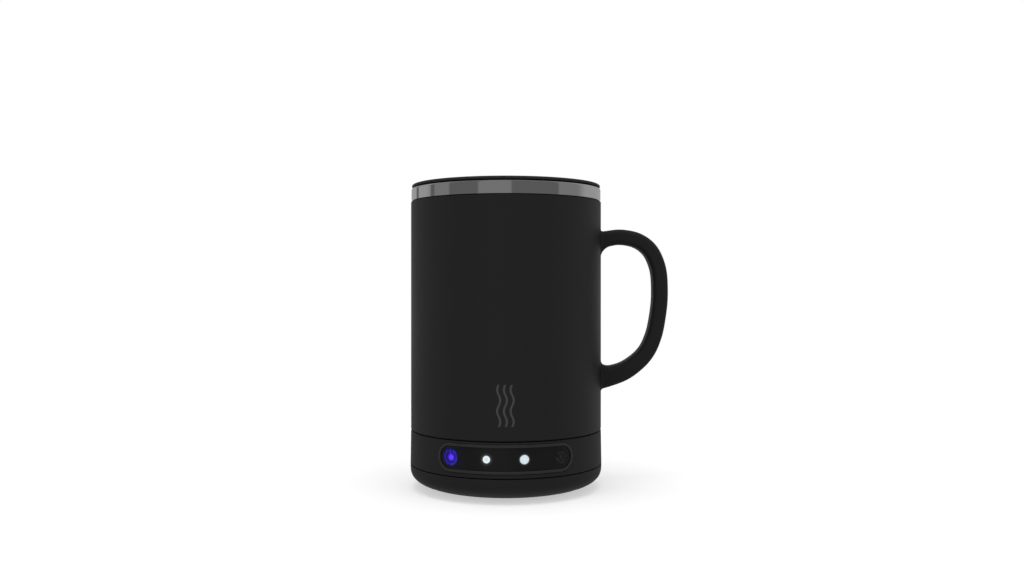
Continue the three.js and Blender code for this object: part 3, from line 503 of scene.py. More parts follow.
def key_place(finish, offset, shift=0):
    """Distances aside, up and in all from a key's centre, and the angle from its top."""
    x, y, z = finish.axes()
    turn = radians(offset - 90)
    aside = x * -sin(turn) + y * cos(turn) - shift
    up = z - PANEL_HEIGHT
    return aside, up, across(aside, up), abs(aside.sum("ARCTAN2", aside, up))


GLOSS = {"Specular IOR Level": 0.25}


def gloss(finish, *marks):
    """Glossy black plastic, with printed marks given as a mask and a colour each."""
    cloud = finish.noise(7, 2)
    dust = finish.noise(0.3, 2)
    return finish.look(finish.layered(finish.tint(cloud, shade(22), shade(25)), *marks),
                       0.24 + cloud * 0.06 + dust * 0.04, finish.relief(dust, 0.0006))


def power_glow(finish):
    """Blue light of the power sign: a dotted ring with a bar at its top, round a bright spot."""
    ring_radius, sign_shift, core_shift = 2.85, -0.4, 0.4
    aside, up, away, angle = key_place(finish, -KEY_ANGLE, sign_shift)
    ragged = finish.noise(0.4, 3, 0.7)
    ring = abs(away - ring_radius).within(0.2, 0.8)
    ring = ring * angle.between(0.28, 0.44) * ragged.between(0.42, 0.56)
    ring = ring * (aside.between(-3.2, 1.5) * 0.5 + 0.5)
    bar = abs(aside).within(0.14, 0.42) * up.between(0.2, 0.7) * up.within(3, 3.5)
    bar = bar * ragged.between(0.3, 0.5)
    from_core = across(aside - core_shift, up)
    specks = finish.noise(0.36, 2).between(0.6, 0.7)
    specks = specks * away.within(2.8, 8.5) * aside.between(-3, 1)
    return finish.layered(shade(0), (away.within(1.2, 3.4) * 0.2, shade(40, 24, 190)),
                          (specks * 0.7, shade(34, 16, 140)), (ring, shade(48, 34, 224)),
                          (bar, shade(44, 40, 216)),
                          (from_core.within(0.9, 1.85), shade(78, 36, 255)),
                          (from_core.within(0.2, 1.3), shade(112, 58, 255)))


def face_finish():
    """Panel face, with the light that spreads round the lit key and the two lights."""
    finish = gloss(Finish("gloss_face", GLOSS))
    glow = power_glow(finish)
    for offset in (-LIGHT_ANGLE, LIGHT_ANGLE):
        _, _, away, _ = key_place(finish, offset)
        glow = finish.tint(away.within(1.4, 3.4) ** 2 * 0.8, glow, shade(58, 64, 66))
    finish.set({"Emission Color": glow, "Emission Strength": 1.0})
    return finish


def power_finish():
    finish = gloss(Finish("blue_key", GLOSS))
    finish.set({"Emission Color": power_glow(finish), "Emission Strength": 1.0})
    return finish


def mode_finish():
    """Unlit key with a faint round mark of short strokes."""
    ring_radius, sign_shift = 2.1, 0.6
    finish = Finish("dark_key", GLOSS)
    _, _, away, _ = key_place(finish, KEY_ANGLE, sign_shift)
    strokes = finish.noise(0.5, 2, 0.6, finish.stretched(1, 1, 0.55))
    ring = abs(away - ring_radius).within(0.5, 0.95)
    middle = abs(away - 0.4).within(0.4, 0.9)
    patch = ring + middle
    light = patch * strokes.between(0.54, 0.6)
    dark = patch * strokes.within(0.4, 0.46)
    return gloss(finish, (light, shade(52)), (dark, shade(4)))


def light_finish(name, offset, radius, crisp):
    """Lit window: a crisp one has a bright rim, the other is cloudy and fades at its edge."""
    finish = Finish(name, {"Base Color": shade(200), "Roughness": 0.3})
    _, _, away, _ = key_place(finish, offset)
    cloud = finish.noise(0.6, 3)
    if crisp:
        rim = abs(away - 0.72 * radius).within(0.1 * radius, 0.34 * radius)
        glow = finish.tint(rim, shade(216, 238, 246), shade(250, 255, 255))
    else:
        glow = finish.tint(cloud.between(0.35, 0.65), shade(208, 226, 233), shade(236, 250, 255))
    edge = shade(176, 192, 198) if crisp else shade(84, 94, 98)
    glow = finish.tint(away.between(0.84 * radius, radius), glow, edge)
    finish.set({"Emission Color": glow, "Emission Strength": 0.9, "Base Color": shade(20)})
    return finish


def board_finish():
    """Green circuit board with paler tracks and tinned pads."""
    finish = Finish("green_board", {"Coat Weight": 0.3})
    tracks = finish.node("TexBrick", {"Vector": finish.stretched(1 / MM, 1 / MM, 0), "Scale": 0.32,
                                      "Mortar Size": 0.05, "Color1": shade(0), "Color2": shade(0),
                                      "Mortar": shade(255)}, "Fac", offset=0.5)
    pads = 1 - finish.cells(3.2).between(0.1, 0.16)
    tone = finish.tint(tracks, shade(24, 78, 44), shade(44, 112, 66))
    return finish.look(finish.tint(pads, tone, shade(186, 184, 170)), 0.42 - pads * 0.12,
                       finish.relief(tracks + pads, 0.03), pads * 0.9)


def wrap_finish():
    """Blue shrink wrap of the cells, with bare steel at their ends."""
    finish = Finish("blue_wrap")
    x, _, _ = finish.axes()
    bare = x.between(31.5, 31.7)
    band = abs(x + 29).within(0.8, 0.9)
    fold = finish.noise(5, 3)
    tone = finish.layered(finish.tint(fold, shade(38, 92, 158), shade(48, 106, 176)),
                          (band, shade(222, 226, 230)), (bare, shade(196, 196, 190)))
    return finish.look(tone, 0.34 + fold * 0.14, finish.relief(fold, 0.04), bare)


def mica_finish():
    """Mica sheet with the heating track printed on it in rings."""
    finish = Finish("mica_sheet")
    x, y, _ = finish.axes()
    ring = across(x, y)
    track = ring.sum("PINGPONG", ring, 1.1).between(0.5, 0.6)
    fleck = finish.cells(0.9)
    tone = finish.tint(fleck, shade(176, 138, 88), shade(200, 166, 116))
    return finish.look(finish.tint(track, tone, shade(120, 116, 110)), 0.5 + fleck * 0.2,
                       finish.relief(track, 0.03), track * 0.8)


def foam_finish():
    """Pale open foam."""
    finish = Finish("pale_foam")
    pores = finish.cells(0.8)
    return finish.look(finish.tint(pores, shade(196, 192, 180), shade(222, 219, 209)),
                       0.88 + pores * 0.1, finish.relief(pores, 0.2))


def port_finish():
    """Nickel shell, with gold contacts on the dark tongue inside it."""
    finish = metal("nickel_port", (196, 190, 178), 0.22, 0.2)
    x, y, z = finish.axes()
    tongue = abs(z - PORT_HEIGHT).within(0.36, 0.4)
    tongue = tongue * abs(x).within(3.3, 3.36) * y.within(39.92, 39.96)
    contact = x.sum("PINGPONG", x + 0.15, 0.3).between(0.14, 0.16)
    contact = contact * tongue * y.between(36.5, 36.6)
    finish.lay((tongue, shade(24)), (contact, shade(220, 184, 110)))
    finish.set({"Metallic": 1 - tongue + contact})
    return finish


black_plastic = moulded("black_plastic", 34, 1.5, 0.54, shine=0.15)
sleeve_black = sleeve_finish()
lid_black = lid_finish()
grip_black = moulded("black_grip", 34, 1.2, 0.58, 0.22, shine=0.12)
pin_black = pin_finish()
inner_plastic = moulded("inner_plastic", 44, 2, 0.6)
rubber = moulded("black_rubber", 38, 2, 0.72, 0.3, 0.02)
bezel_black = moulded("frame_black", 46, 2, 0.42, 0.12, 0.004)
chip_black = moulded("chip_black", 24, 2, 0.5)
black_wire = moulded("black_wire", 20, 2, 0.5)
red_wire = moulded("red_wire", 160, 6, 0.5, colour=(1, 0.16, 0.16))
polished_steel = cup_finish()
ring_steel = metal("ring_steel", (214, 214, 214), 0.02, 0.1, 0.0002, spread=0.01)
screw_steel = metal("screw_steel", (176, 176, 178), 0.28, 0.14, 0.003, spread=0.1)
aluminium = metal("turned_aluminium", (198, 200, 202), 0.3, 0.22, 0.004, False, 0.14)
nickel = metal("nickel_strip", (190, 184, 172), 0.28, 0.2)
pale_glaze = heater_finish()
gloss_face = face_finish()
blue_key = power_finish()
dark_key = mode_finish()
crisp_light = light_finish("crisp_light", -LIGHT_ANGLE, LIGHT_RADII[0], True)
cloudy_light = light_finish("cloudy_light", LIGHT_ANGLE, LIGHT_RADII[1], False)
lamp_white = light_finish("lamp_white", 0, 40, False)
green_board = board_finish()
blue_wrap = wrap_finish()
mica_sheet = mica_finish()
pale_foam = foam_finish()
nickel_port = port_finish()


def fitted(piece, finish, body, node, angle=32):
    """Smooths a piece, gives it its material and body, and hides the node it stands for."""
    smoothed(piece, angle)
    piece.data.materials.clear()
    piece.data.materials.append(finish.material)
    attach(piece, body)
    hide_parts(node)


# Mug

def make_sleeve():
    """Sleeve with a tongue behind the steel band and a ledge under the cup."""
    inner, top = SLEEVE_RADIUS - 1.2, 125.05
    tongue_outer, tongue_inner, tongue_top = 40.7, 39.7, 127.95
    ledge_inner, ledge_foot, ledge_top = 36.6, 34.7, 36.5
    outline = eased((inner, SLEEVE_FOOT), (SLEEVE_RADIUS, SLEEVE_FOOT, 0.6),
                    (SLEEVE_RADIUS, top, 0.25), (tongue_outer, top),
                    (tongue_outer, tongue_top, 0.2), (tongue_inner, tongue_top),
                    (tongue_inner, top - 1), (inner, top - 2.1), (inner, ledge_top),
                    (ledge_inner, ledge_top), (ledge_inner, ledge_foot), (inner, ledge_foot))
    fitted(turned("sleeve", outline), sleeve_black, "mug", "outer_shell")


def make_cup():
    """Cup with a rounded floor and a mouth that flares out to the band."""
    radius, floor, wall = 41.8, 35.9, 0.8
    corner_r, corner_z, corner = 31.5, 40.7, 4
    mouth_r, mouth_z, mouth_reach, mouth_rise = 41, 127.9, 5.5, 3.1
    band_foot, edge = 125.35, 0.15
    outline = [
        (0, floor),
        *arc(corner_r, corner_z, corner + wall, corner + wall, -90, 0),
        *arc(mouth_r, mouth_z, wall - mouth_reach, mouth_rise - wall, 0, 90, 10),
        (mouth_r, band_foot), (radius - edge, band_foot), (radius, band_foot + edge),
        *arc(mouth_r, mouth_z + mouth_rise - wall, wall, wall, 0, 90, 6),
        *arc(mouth_r, mouth_z, -mouth_reach, mouth_rise, 90, 0, 16)[1:],
        *arc(corner_r, corner_z, corner, corner, 0, -90),
        (0, floor + wall),
    ]
    fitted(turned("cup", outline), polished_steel, "mug", "steel_cup")


# Places round the grip, as shares of its reach, its height and its thickness.
GRIP_PLACES = [
    (-0.12, 0.972, 1.1), (0.1, 0.988, 1.06), (0.328, 1, 1.01), (0.617, 0.975, 1),
    (0.828, 0.907, 1), (0.965, 0.78, 1), (1, 0.6, 1), (0.972, 0.45, 1), (0.887, 0.28, 1.02),
    (0.737, 0.155, 1.06), (0.425, 0.044, 1.18), (0.107, -0.005, 1.32), (-0.12, -0.029, 1.33),
]
GRIP_REACH = 26.2
GRIP_LOW = SLEEVE_FOOT + 22.8
GRIP_SPAN = 61.6
GRIP_THICKNESS = 6.6
OUTER_SHARE = 0.97
GRIP_WIDTH = 11
GRIP_ROUNDING = 2.1
# The roots' fillets start at this distance from the upright axis, just inside the sleeve.
ROOT_PLANE = 41.6
ROOT_STEPS = (-0.8, -0.2, 0, 0.05, 0.15, 0.3, 0.5, 0.8, 1.2, 1.7, 2.3, 3.1, 4.1, 5.2, 6.4)
# Reach and rise of the fillets in the handle's opening, and on its other sides.
INNER_FLARE = (5, 4.8)
OUTER_FLARE = (1.4, 1.3)
UPRIGHT_REACH = 8


def flowing(points, share):
    """Place at a share of the way along a smooth curve through the points."""
    ends = [points[0] * 2 - points[1], *points, points[-1] * 2 - points[-2]]
    position = min(share * (len(points) - 1), len(points) - 1 - 1e-6)
    index = int(position)
    t = position - index
    a, b, c, d = ends[index:index + 4]
    before, span, after = [(q - p).length ** 0.5 for p, q in ((a, b), (b, c), (c, d))]
    leaving = ((b - a) / before - (c - a) / (before + span) + (c - b) / span) * span
    arriving = ((c - b) / span - (d - b) / (span + after) + (d - c) / after) * span
    bend = b * 2 - c * 2 + leaving + arriving
    return b + leaving * t + (c * 3 - b * 3 - leaving * 2 - arriving) * t ** 2 + bend * t ** 3


def share_at(points, distance, root, outer):
    """Share of the way, between a root and an outer share, at a distance from the root plane."""
    for _ in range(30):
        middle = (root + outer) / 2
        if flowing(points, middle).x - ROOT_PLANE < distance:
            root = middle
        else:
            outer = middle
    return root


def flare(distance, reach, rise):
    """Extra half thickness near a root, which is nothing at its reach from the root plane."""
    inside = min(max(reach - distance, 0), reach) / reach
    return rise * (1 - sqrt(1 - inside ** 2))


def grip_shares(points, middle_steps=84):
    """Shares of the way for the sections, close together at both roots."""
    top = [share_at(points, distance, 0, 0.3) for distance in ROOT_STEPS]
    foot = [share_at(points, distance, 1, 0.7) for distance in reversed(ROOT_STEPS)]
    step = (foot[0] - top[-1]) / middle_steps
    return top + [top[-1] + step * i for i in range(1, middle_steps)] + foot


def add_grip_section(here, along):
    """Rounded rectangle across the grip, which turns upright as it comes close to a root."""
    distance = here.x - ROOT_PLANE
    upright = min(max(1 - distance / UPRIGHT_REACH, 0), 1)
    upright = upright ** 2 * (3 - 2 * upright)
    level = Vector((copysign(upright, along.x), 0, 0))
    facing = (along * (1 - upright) + level).normalized()
    inward = Vector((facing.z, 0, -facing.x))
    half = here.y / 2 / facing.dot(along)
    inner = half + flare(distance + inward.x * half, *INNER_FLARE)
    outer = half * OUTER_SHARE + flare(distance, *OUTER_FLARE)
    width = GRIP_WIDTH + 2 * flare(distance, *OUTER_FLARE)
    centre = Vector((here.x, 0, here.z)) + inward * (inner - outer) / 2
    bpy.ops.mesh.primitive_plane_add(size=1)
    bpy.ops.transform.resize(value=((inner + outer) * MM, width * MM, 1),
                             center_override=(0, 0, 0))
    bpy.ops.mesh.bevel(affect="VERTICES", offset=GRIP_ROUNDING * MM, segments=8, profile=0.5)
    bpy.ops.transform.rotate(value=-atan2(facing.x, facing.z), orient_axis="Y",
                             center_override=(0, 0, 0))
    bpy.ops.transform.translate(value=centre * MM)


def make_grip():
    """Sections stood along the grip's curve and bridged, closed inside the sleeve."""
    points = [Vector((SLEEVE_RADIUS + reach * GRIP_REACH, thickness * GRIP_THICKNESS,
                      GRIP_LOW + height * GRIP_SPAN))
              for reach, height, thickness in GRIP_PLACES]
    deselect()
    bpy.ops.mesh.primitive_plane_add(size=1)
    grip = added("grip")
    edit()
    bpy.ops.mesh.delete(type="VERT")
    for share in grip_shares(points):
        ahead = flowing(points, min(share + 0.002, 1))
        along = ahead - flowing(points, max(share - 0.002, 0))
        along = Vector((along.x, 0, along.z)).normalized()
        add_grip_section(flowing(points, share), along)
    select_all()
    bpy.ops.mesh.delete(type="ONLY_FACE")
    select_all()
    bpy.ops.mesh.bridge_edge_loops(type="SINGLE")
    select_all()
    bpy.ops.mesh.fill_holes(sides=0)
    face_outwards()
    fitted(grip, grip_black, "mug", "handle", 40)


def make_spreader():
    radius, foot, top = 23.5, 34.1, 35.6
    outline = eased((0, foot), (radius, foot, 0.3), (radius, top, 0.2), (0, top))
    fitted(turned("spreader_disc", outline), aluminium, "mug", "contact_disc")


def make_twist_socket():
    """Ring under the cup, with a slot for each pin that runs up and then round to lock."""
    inner, outer, opening = 39.3, 40.5, 27.5
    foot, floor, top = 26.8, 32.4, 34.4
    outline = eased((inner, foot, 0.25), (outer, foot, 0.25), (outer, top, 0.3),
                    (opening, top, 0.3), (opening, floor, 0.3), (inner, floor), steps=3)
    socket = turned("twist_socket", outline)
    pin_room = PIN_RADIUS + 0.3
    half = pin_room * FACE_RADIUS / inner
    run = radians(LOCK_ANGLE) * FACE_RADIUS
    way_in = (-half, half, foot - 0.8)
    way_round = (-half + 0.01, half + run, PIN_HEIGHT - pin_room)
    tools = []
    for i, azimuth in enumerate(PIN_AZIMUTHS):
        for place, (start, end, low) in enumerate((way_in, way_round)):
            block = slab(f"slot_tool_{i}_{place}", (start, -0.2, low),
                         (end, 3.2, PIN_HEIGHT + pin_room))
            tool = wrapped(block, 0.8)
            tool.rotation_euler = (0, 0, radians(azimuth + 90))
            tools.append(settle(tool))
    carved(socket, *tools)
    fitted(socket, inner_plastic, "mug", "bayonet_socket")


def make_bolt(name, head, head_height, shaft, reach):
    """Screw with its head down at height 0, a domed rim and a cross recess."""
    edge = min(0.3, head_height / 2)
    tip = head_height + reach
    outline = [(0, 0), (head - 2 * edge, 0), *arc(head - edge, edge, edge, edge, -60, 0, 4),
               (head, head_height), (shaft, head_height), (shaft, tip - 0.4),
               (shaft * 0.6, tip), (0, tip)]
    bolt = turned(name, outline, 40)
    arm, wide = head * 0.62, head * 0.13
    depth = head_height * 0.65
    return carved(bolt, slab("cross_a", (-arm, -wide, -0.5), (arm, wide, depth)),
                  slab("cross_b", (-wide, -arm, -0.5), (wide, arm, depth)))


def make_bolts(kind, sizes, height, places, body, node):
    """Copies of one screw at [x, y, turn] places, all with their heads at a height."""
    model = make_bolt(kind, *sizes)
    for i, (x, y, turn) in enumerate(places):
        copy = repeated(model, f"{kind}_{i + 1}", turn, x, y, height)
        fitted(copy, screw_steel, body, f"{node}_{i + 1}")
    pick(model)
    bpy.ops.object.delete()


def make_socket_bolts():
    ring = 38.1
    places = [(ring * cos(radians(azimuth)), ring * sin(radians(azimuth)),
               azimuth) for azimuth in (45, 165, 285)]
    make_bolts("socket_bolt", (1.5, 0.6, 0.8, 2.8), 32.7, places, "mug", "socket_screw")


# Lid

def make_lid():
    """Lid with a shallow dip in its top, a cove under its flange and a hollow plug."""
    radius, top, dip, edge = 41.6, 132.6, 0.18, 0.65
    cove_r, cove_z, cove_reach, cove_rise = 40.85, 127.9, 5.85, 3.4
    plug, plug_inner, foot, nick = 33.9, 32.8, 121.9, 0.1
    ceiling, corner = 128.1, 0.9
    outline = [
        (0, top - dip), (36.4, top - dip), (36.9, top - 0.14), (37.3, top - 0.02), (37.8, top),
        *arc(radius - edge, top - edge, edge, edge, 90, -90, 12),
        *arc(cove_r, cove_z, -cove_reach, cove_rise, 90, 0, 16),
        (plug, cove_z), (plug, foot + nick), (plug - nick, foot),
        (plug_inner + nick, foot), (plug_inner, foot + nick),
        *arc(plug_inner - corner, ceiling - corner, corner, corner, 0, 90, 6),
        (0, ceiling),
    ]
    fitted(turned("lid_cap", outline), lid_black, "lid", "lid_body")


def make_gasket():
    """Sleeve on the plug with round ribs and a foot that wraps the plug's edge."""
    inner, rib_r, rib_reach, rib_rise = 34.2, 34.4, 0.95, 1.24
    top, top_rib, pitch = 127.8, 127.25, 2.25
    foot_r, foot_z, foot_reach, foot_drop = 33.5, 121.5, 1.45, 0.8
    lip, nick = 32.2, 0.1
    ribs = []
    for i in range(3):
        ribs += arc(rib_r, top_rib - pitch * i, rib_reach, rib_rise, 65 if i else 26, -65, 8)
    outline = [(inner, top), (inner + 1, top), *ribs,
               *arc(foot_r, foot_z, foot_reach, foot_drop, 0, -90, 8),
               (lip + nick, foot_z - foot_drop), (lip, foot_z - foot_drop + nick),
               (lip, foot_z + nick), (inner, foot_z + nick)]
    fitted(turned("lid_gasket", outline), rubber, "lid", "lid_seal", 50)


# Base

def make_base_wall():
    """Outer wall, shoulder and neck, with the openings for panel, port and pins."""
    foot, inner, ceiling = SEAM_HEIGHT + 0.4, 40, SHOULDER - 2
    neck_inner, neck_ceiling = NECK_RADIUS - 2, NECK_TOP - 2
    recess, recess_floor, opening = 27.9, 28.2, 24.7
    seat, seat_foot = 31.7, 26.6
    outline = eased((BASE_RADIUS, foot, 0.15), (BASE_RADIUS - 0.2, SHOULDER, 0.6),
                    (NECK_RADIUS, SHOULDER, 0.35), (NECK_RADIUS, NECK_TOP, 1.4),
                    (recess, NECK_TOP, 0.6), (recess, recess_floor, 0.3),
                    (opening, recess_floor, 0.2), (opening, seat_foot), (seat, seat_foot),
                    (seat, neck_ceiling), (neck_inner, neck_ceiling), (neck_inner, ceiling),
                    (inner, ceiling), (inner, foot))
    wall = turned("base_wall", outline)
    window = obround("window_tool", PANEL_REACH + 0.17, PANEL_RISE + 0.17)
    window = wrapped(thickened(window, -1.2, PANEL_HEIGHT, 3.4))
    hole = thickened(obround("port_tool", 4.8, 1.9, 1), 44, PORT_HEIGHT, 5)
    pin_holes = []
    for i, azimuth in enumerate(PIN_AZIMUTHS):
        tool = disc(f"pin_tool_{i}", PIN_RADIUS + 0.12, 35, 44, 32)
        pin_holes.append(outwards(tool, azimuth, PIN_HEIGHT))
    carved(wall, hole, *pin_holes, window)
    fitted(wall, black_plastic, "base", "base_housing")


def dish_line(flat, depth, steps):
    """Curve from the edge of the flat underside up to the seam."""
    reach, reach_power, depth_power = 15.45, 1.07, 0.627
    angles = [pi / 2 * (1 - i / steps) ** 1.5 for i in range(steps + 1)]
    return [(flat + reach * max(cos(a), 0) ** reach_power,
             SEAM_HEIGHT - depth * sin(a) ** depth_power) for a in angles]


def make_dish():
    """Cover under the seam, with a seat for the pad and a well for each screw."""
    stand, wall, seat_r, seat_z, nick = 0.4, 1.8, 24.3, 1.2, 0.1
    flat, depth = 26.75, SEAM_HEIGHT - stand
    lip_outer, lip_inner, lip_top = 39.7, 38.5, SEAM_HEIGHT + 2.2
    inside = [point for point in reversed(dish_line(flat - wall, depth - wall, 20))
              if point[0] < lip_inner - nick]
    outline = [(0, seat_z), (seat_r, seat_z), (seat_r, stand + nick), (seat_r + nick, stand),
               *dish_line(flat, depth, 28), (lip_outer, SEAM_HEIGHT),
               (lip_outer, lip_top - nick), (lip_outer - nick, lip_top),
               (lip_inner + nick, lip_top), (lip_inner, lip_top - nick),
               (lip_inner, SEAM_HEIGHT - wall), *inside, (0, stand + wall)]
    dish = turned("dish", outline)
    for name, operation, radius, low, high in (("boss", "UNION", 3, 3.4, 8.2),
                                               ("well", "DIFFERENCE", 2.4, -1, 6.1)):
        tools = []
        for i, (x, y) in enumerate(BOLT_PLACES):
            tool = disc(f"{name}_tool_{i}", radius, low, high, 32)
            tools.append(moved(tool, x, y, 0))
        carved(dish, *tools, operation=operation)
    fitted(dish, black_plastic, "base", "bottom_cover")


def make_pad():
    """Pad under the dish, with five round grooves."""
    radius, thickness, depth, width = 24, 0.9, 0.25, 1
    grooves = []
    for i in range(5):
        r = 6 + 3.5 * i
        grooves += [(r, 0), (r + 0.15, depth), (r + width - 0.15, depth), (r + width, 0)]
    outline = [(0, 0), *grooves, (radius - 0.3, 0), (radius - 0.1, 0.1), (radius, 0.3),
               (radius, thickness), (0, thickness)]
    fitted(turned("grip_pad", outline), rubber, "base", "foot_pad", 25)


def make_pins():
    root, tip = 35.7, 40.27
    outline = [(0, root), (PIN_RADIUS, root), (PIN_RADIUS, tip - 0.25),
               (PIN_RADIUS - 0.08, tip - 0.07), (PIN_RADIUS - 0.25, tip), (0, tip)]
    for i, azimuth in enumerate(PIN_AZIMUTHS):
        pin = outwards(turned(f"pin_{i + 1}", outline, 40), azimuth, PIN_HEIGHT)
        fitted(pin, pin_black, "base", f"bayonet_pin_{i + 1}")


def make_neck_ring():
    """Ring with a hollow face in the corner between shoulder and neck."""
    inner = NECK_RADIUS + 0.05
    outline = [(inner, SHOULDER + 0.4), (39.3, SHOULDER + 0.05),
               *arc(40.6, SHOULDER + 1.45, 1.6, 1.35, 268, 184, 8),
               (inner, SHOULDER + 1.3)]
    fitted(turned("neck_ring", outline), black_plastic, "twist_seal", "neck_seal")


def make_panel():
    """Curved glossy face with holes for its keys and lights, and the frame round it."""
    face = obround("panel_glass", PANEL_REACH, PANEL_RISE)
    face = wrapped(thickened(face, 0, PANEL_HEIGHT, 1.5))
    openings = [(-KEY_ANGLE, KEY_RADIUS + 0.08), (KEY_ANGLE, KEY_RADIUS + 0.08),
                (-LIGHT_ANGLE, LIGHT_RADII[0] + 0.05), (LIGHT_ANGLE, LIGHT_RADII[1] + 0.05)]
    holes = [on_face(disc(f"hole_tool_{i}", radius, 38.5, 43, 48), offset)
             for i, (offset, radius) in enumerate(openings)]
    carved(face, *holes)
    fitted(face, gloss_face, "base", "panel_face")

    rim = obround("panel_frame", PANEL_REACH, PANEL_RISE)
    edit()
    select_all()
    bpy.ops.mesh.inset(thickness=1.2 * MM, depth=0)
    bpy.ops.mesh.delete(type="FACE")
    bpy.ops.object.mode_set(mode="OBJECT")
    thickened(rim, -0.55, PANEL_HEIGHT, 0.52)
    shaped(rim, "BEVEL", width=0.24 * MM, segments=4, limit_method="ANGLE",
           angle_limit=radians(50))
    fitted(wrapped(rim), bezel_black, "base", "panel_bezel", 45)


def make_keys():
    """Keys with a collar behind the face, and the two light windows."""
    root, collar, collar_height, edge = 39.15, 4, 0.5, 0.05
    outline = [(0, root), (collar, root), (collar, root + collar_height),
               (KEY_RADIUS, root + collar_height), (KEY_RADIUS, FACE_RADIUS - edge),
               (KEY_RADIUS - edge, FACE_RADIUS),
               *[(r, FACE_RADIUS) for r in (2.4, 1.6, 0.8, 0)]]
    for name, offset, finish, slot, body, node in (
            ("key_power", -KEY_ANGLE, blue_key, "blue_glow", "power_key", "power_button"),
            ("key_mode", KEY_ANGLE, dark_key, "gloss_black", "mode_key", "mode_button")):
        key = on_face(turned(name, outline, 48), offset)
        fitted(key, finish, body, node)
    window_root = 37.25
    for i, (offset, finish) in enumerate(((-LIGHT_ANGLE, crisp_light),
                                          (LIGHT_ANGLE, cloudy_light))):
        radius = LIGHT_RADII[i]
        outline = [(0, window_root), (radius, window_root), (radius, FACE_RADIUS - edge),
                   (radius - edge, FACE_RADIUS), (radius * 0.6, FACE_RADIUS), (0, FACE_RADIUS)]
        light = on_face(turned(f"light_{i + 1}", outline, 48), offset)
        fitted(light, finish, "base", f"led_window_{i + 1}")


def make_heater():
    """Plate with a thin rim, and the steel ring under it, which leans in at its top."""
    hub, plate_foot, rim_foot = 22.4, PLATE_TOP - 1.9, PLATE_TOP - 0.4
    outline = eased((0, plate_foot), (hub, plate_foot), (hub, rim_foot), (PLATE_RADIUS, rim_foot),
                    (PLATE_RADIUS, PLATE_TOP, 0.2), (0, PLATE_TOP))
    fitted(turned("warming_plate", outline), pale_glaze, "base", "heater_plate")
    inner, outer, foot, top = 22.7, 24.2, 26.6, 33
    outline = eased((inner, foot), (outer, foot), (outer, top - 0.8), (outer - 0.02, top - 0.7),
                    (outer - 0.07, top - 0.15), (outer - 0.09, top, 0.06), (inner, top, 0.1))
    fitted(turned("plate_ring", outline), ring_steel, "base", "heater_ring")


def make_port():
    """Metal shell of the charging port with its tongue, at the back of the base."""
    port = obround("charge_socket", 4.5, 1.6, 1)
    moved(port, 0, 40.9, PORT_HEIGHT)
    edit()
    select_all()
    bpy.ops.mesh.inset(thickness=0.35 * MM, depth=0)
    bpy.ops.mesh.extrude_region_move(TRANSFORM_OT_translate={"value": (0, -6.3 * MM, 0)})
    bpy.ops.mesh.select_non_manifold(extend=False, use_wire=False, use_multi_face=False,
                                     use_non_contiguous=False, use_verts=False)
    bpy.ops.mesh.extrude_edges_move(TRANSFORM_OT_translate={"value": (0, -7.3 * MM, 0)})
    bpy.ops.mesh.edge_face_add()
    face_outwards()
    tongue = slab("tongue_tool", (-3.3, 34.2, PORT_HEIGHT - 0.35), (3.3, 39.9, PORT_HEIGHT + 0.35))
    shaped(tongue, "BEVEL", width=0.12 * MM, segments=2, limit_method="ANGLE")
    carved(port, tongue, operation="UNION")
    fitted(port, nickel_port, "base", "charge_port")


def make_cover_bolts():
    places = [(x, y, 25 + 40 * i) for i, (x, y) in enumerate(BOLT_PLACES)]
    make_bolts("cover_bolt", (2.1, 1, 1, 10), 4.8, places, "base", "cover_screw")


make_sleeve()
make_cup()
make_grip()
make_spreader()
make_twist_socket()
make_socket_bolts()
make_lid()
make_gasket()
make_base_wall()
make_dish()
make_pad()
make_pins()
make_neck_ring()
make_panel()
make_keys()
make_heater()
make_port()
make_cover_bolts()

# Inner pieces that keep their shape and get a finish
INNER = {
    inner_plastic: ("power_plunger", "mode_plunger", "battery_holder", "heater_carrier"),
    chip_black: ("power_switch", "mode_switch", "thermistor"),
    lamp_white: ("led_1", "led_2"),
    green_board: ("panel_board", "main_board"),
    screw_steel: ("board_screw_1", "board_screw_2", "heater_screw_1", "heater_screw_2",
                  "heater_screw_3", "handle_screw_1", "handle_screw_2"),
    blue_wrap: ("battery_cell_1", "battery_cell_2"),
    nickel: ("cell_link",),
    black_wire: ("battery_lead_1",),
    red_wire: ("battery_lead_2", "heater_lead_1", "heater_lead_2"),
    mica_sheet: ("heating_element",),
    aluminium: ("heat_shield",),
    pale_foam: ("insulation",),
}
for inner_finish, names in INNER.items():
    for name in names:
        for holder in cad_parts[name].material_slots:
            holder.material = inner_finish.material


# Studio, with its sizes in metres

# Light added to the floor, so that only the object's shadow is left on it.
FLOOR_LIFT = 0.5
FLOOR_DROP = 0.0002
# Strength of the world's light where it isn't seen.
SOFT_LEVEL = 0.66


def unseen(piece, *rays):
    """Hides a studio piece from kinds of rays."""
    for ray in rays:
        setattr(piece, f"visible_{ray}", False)


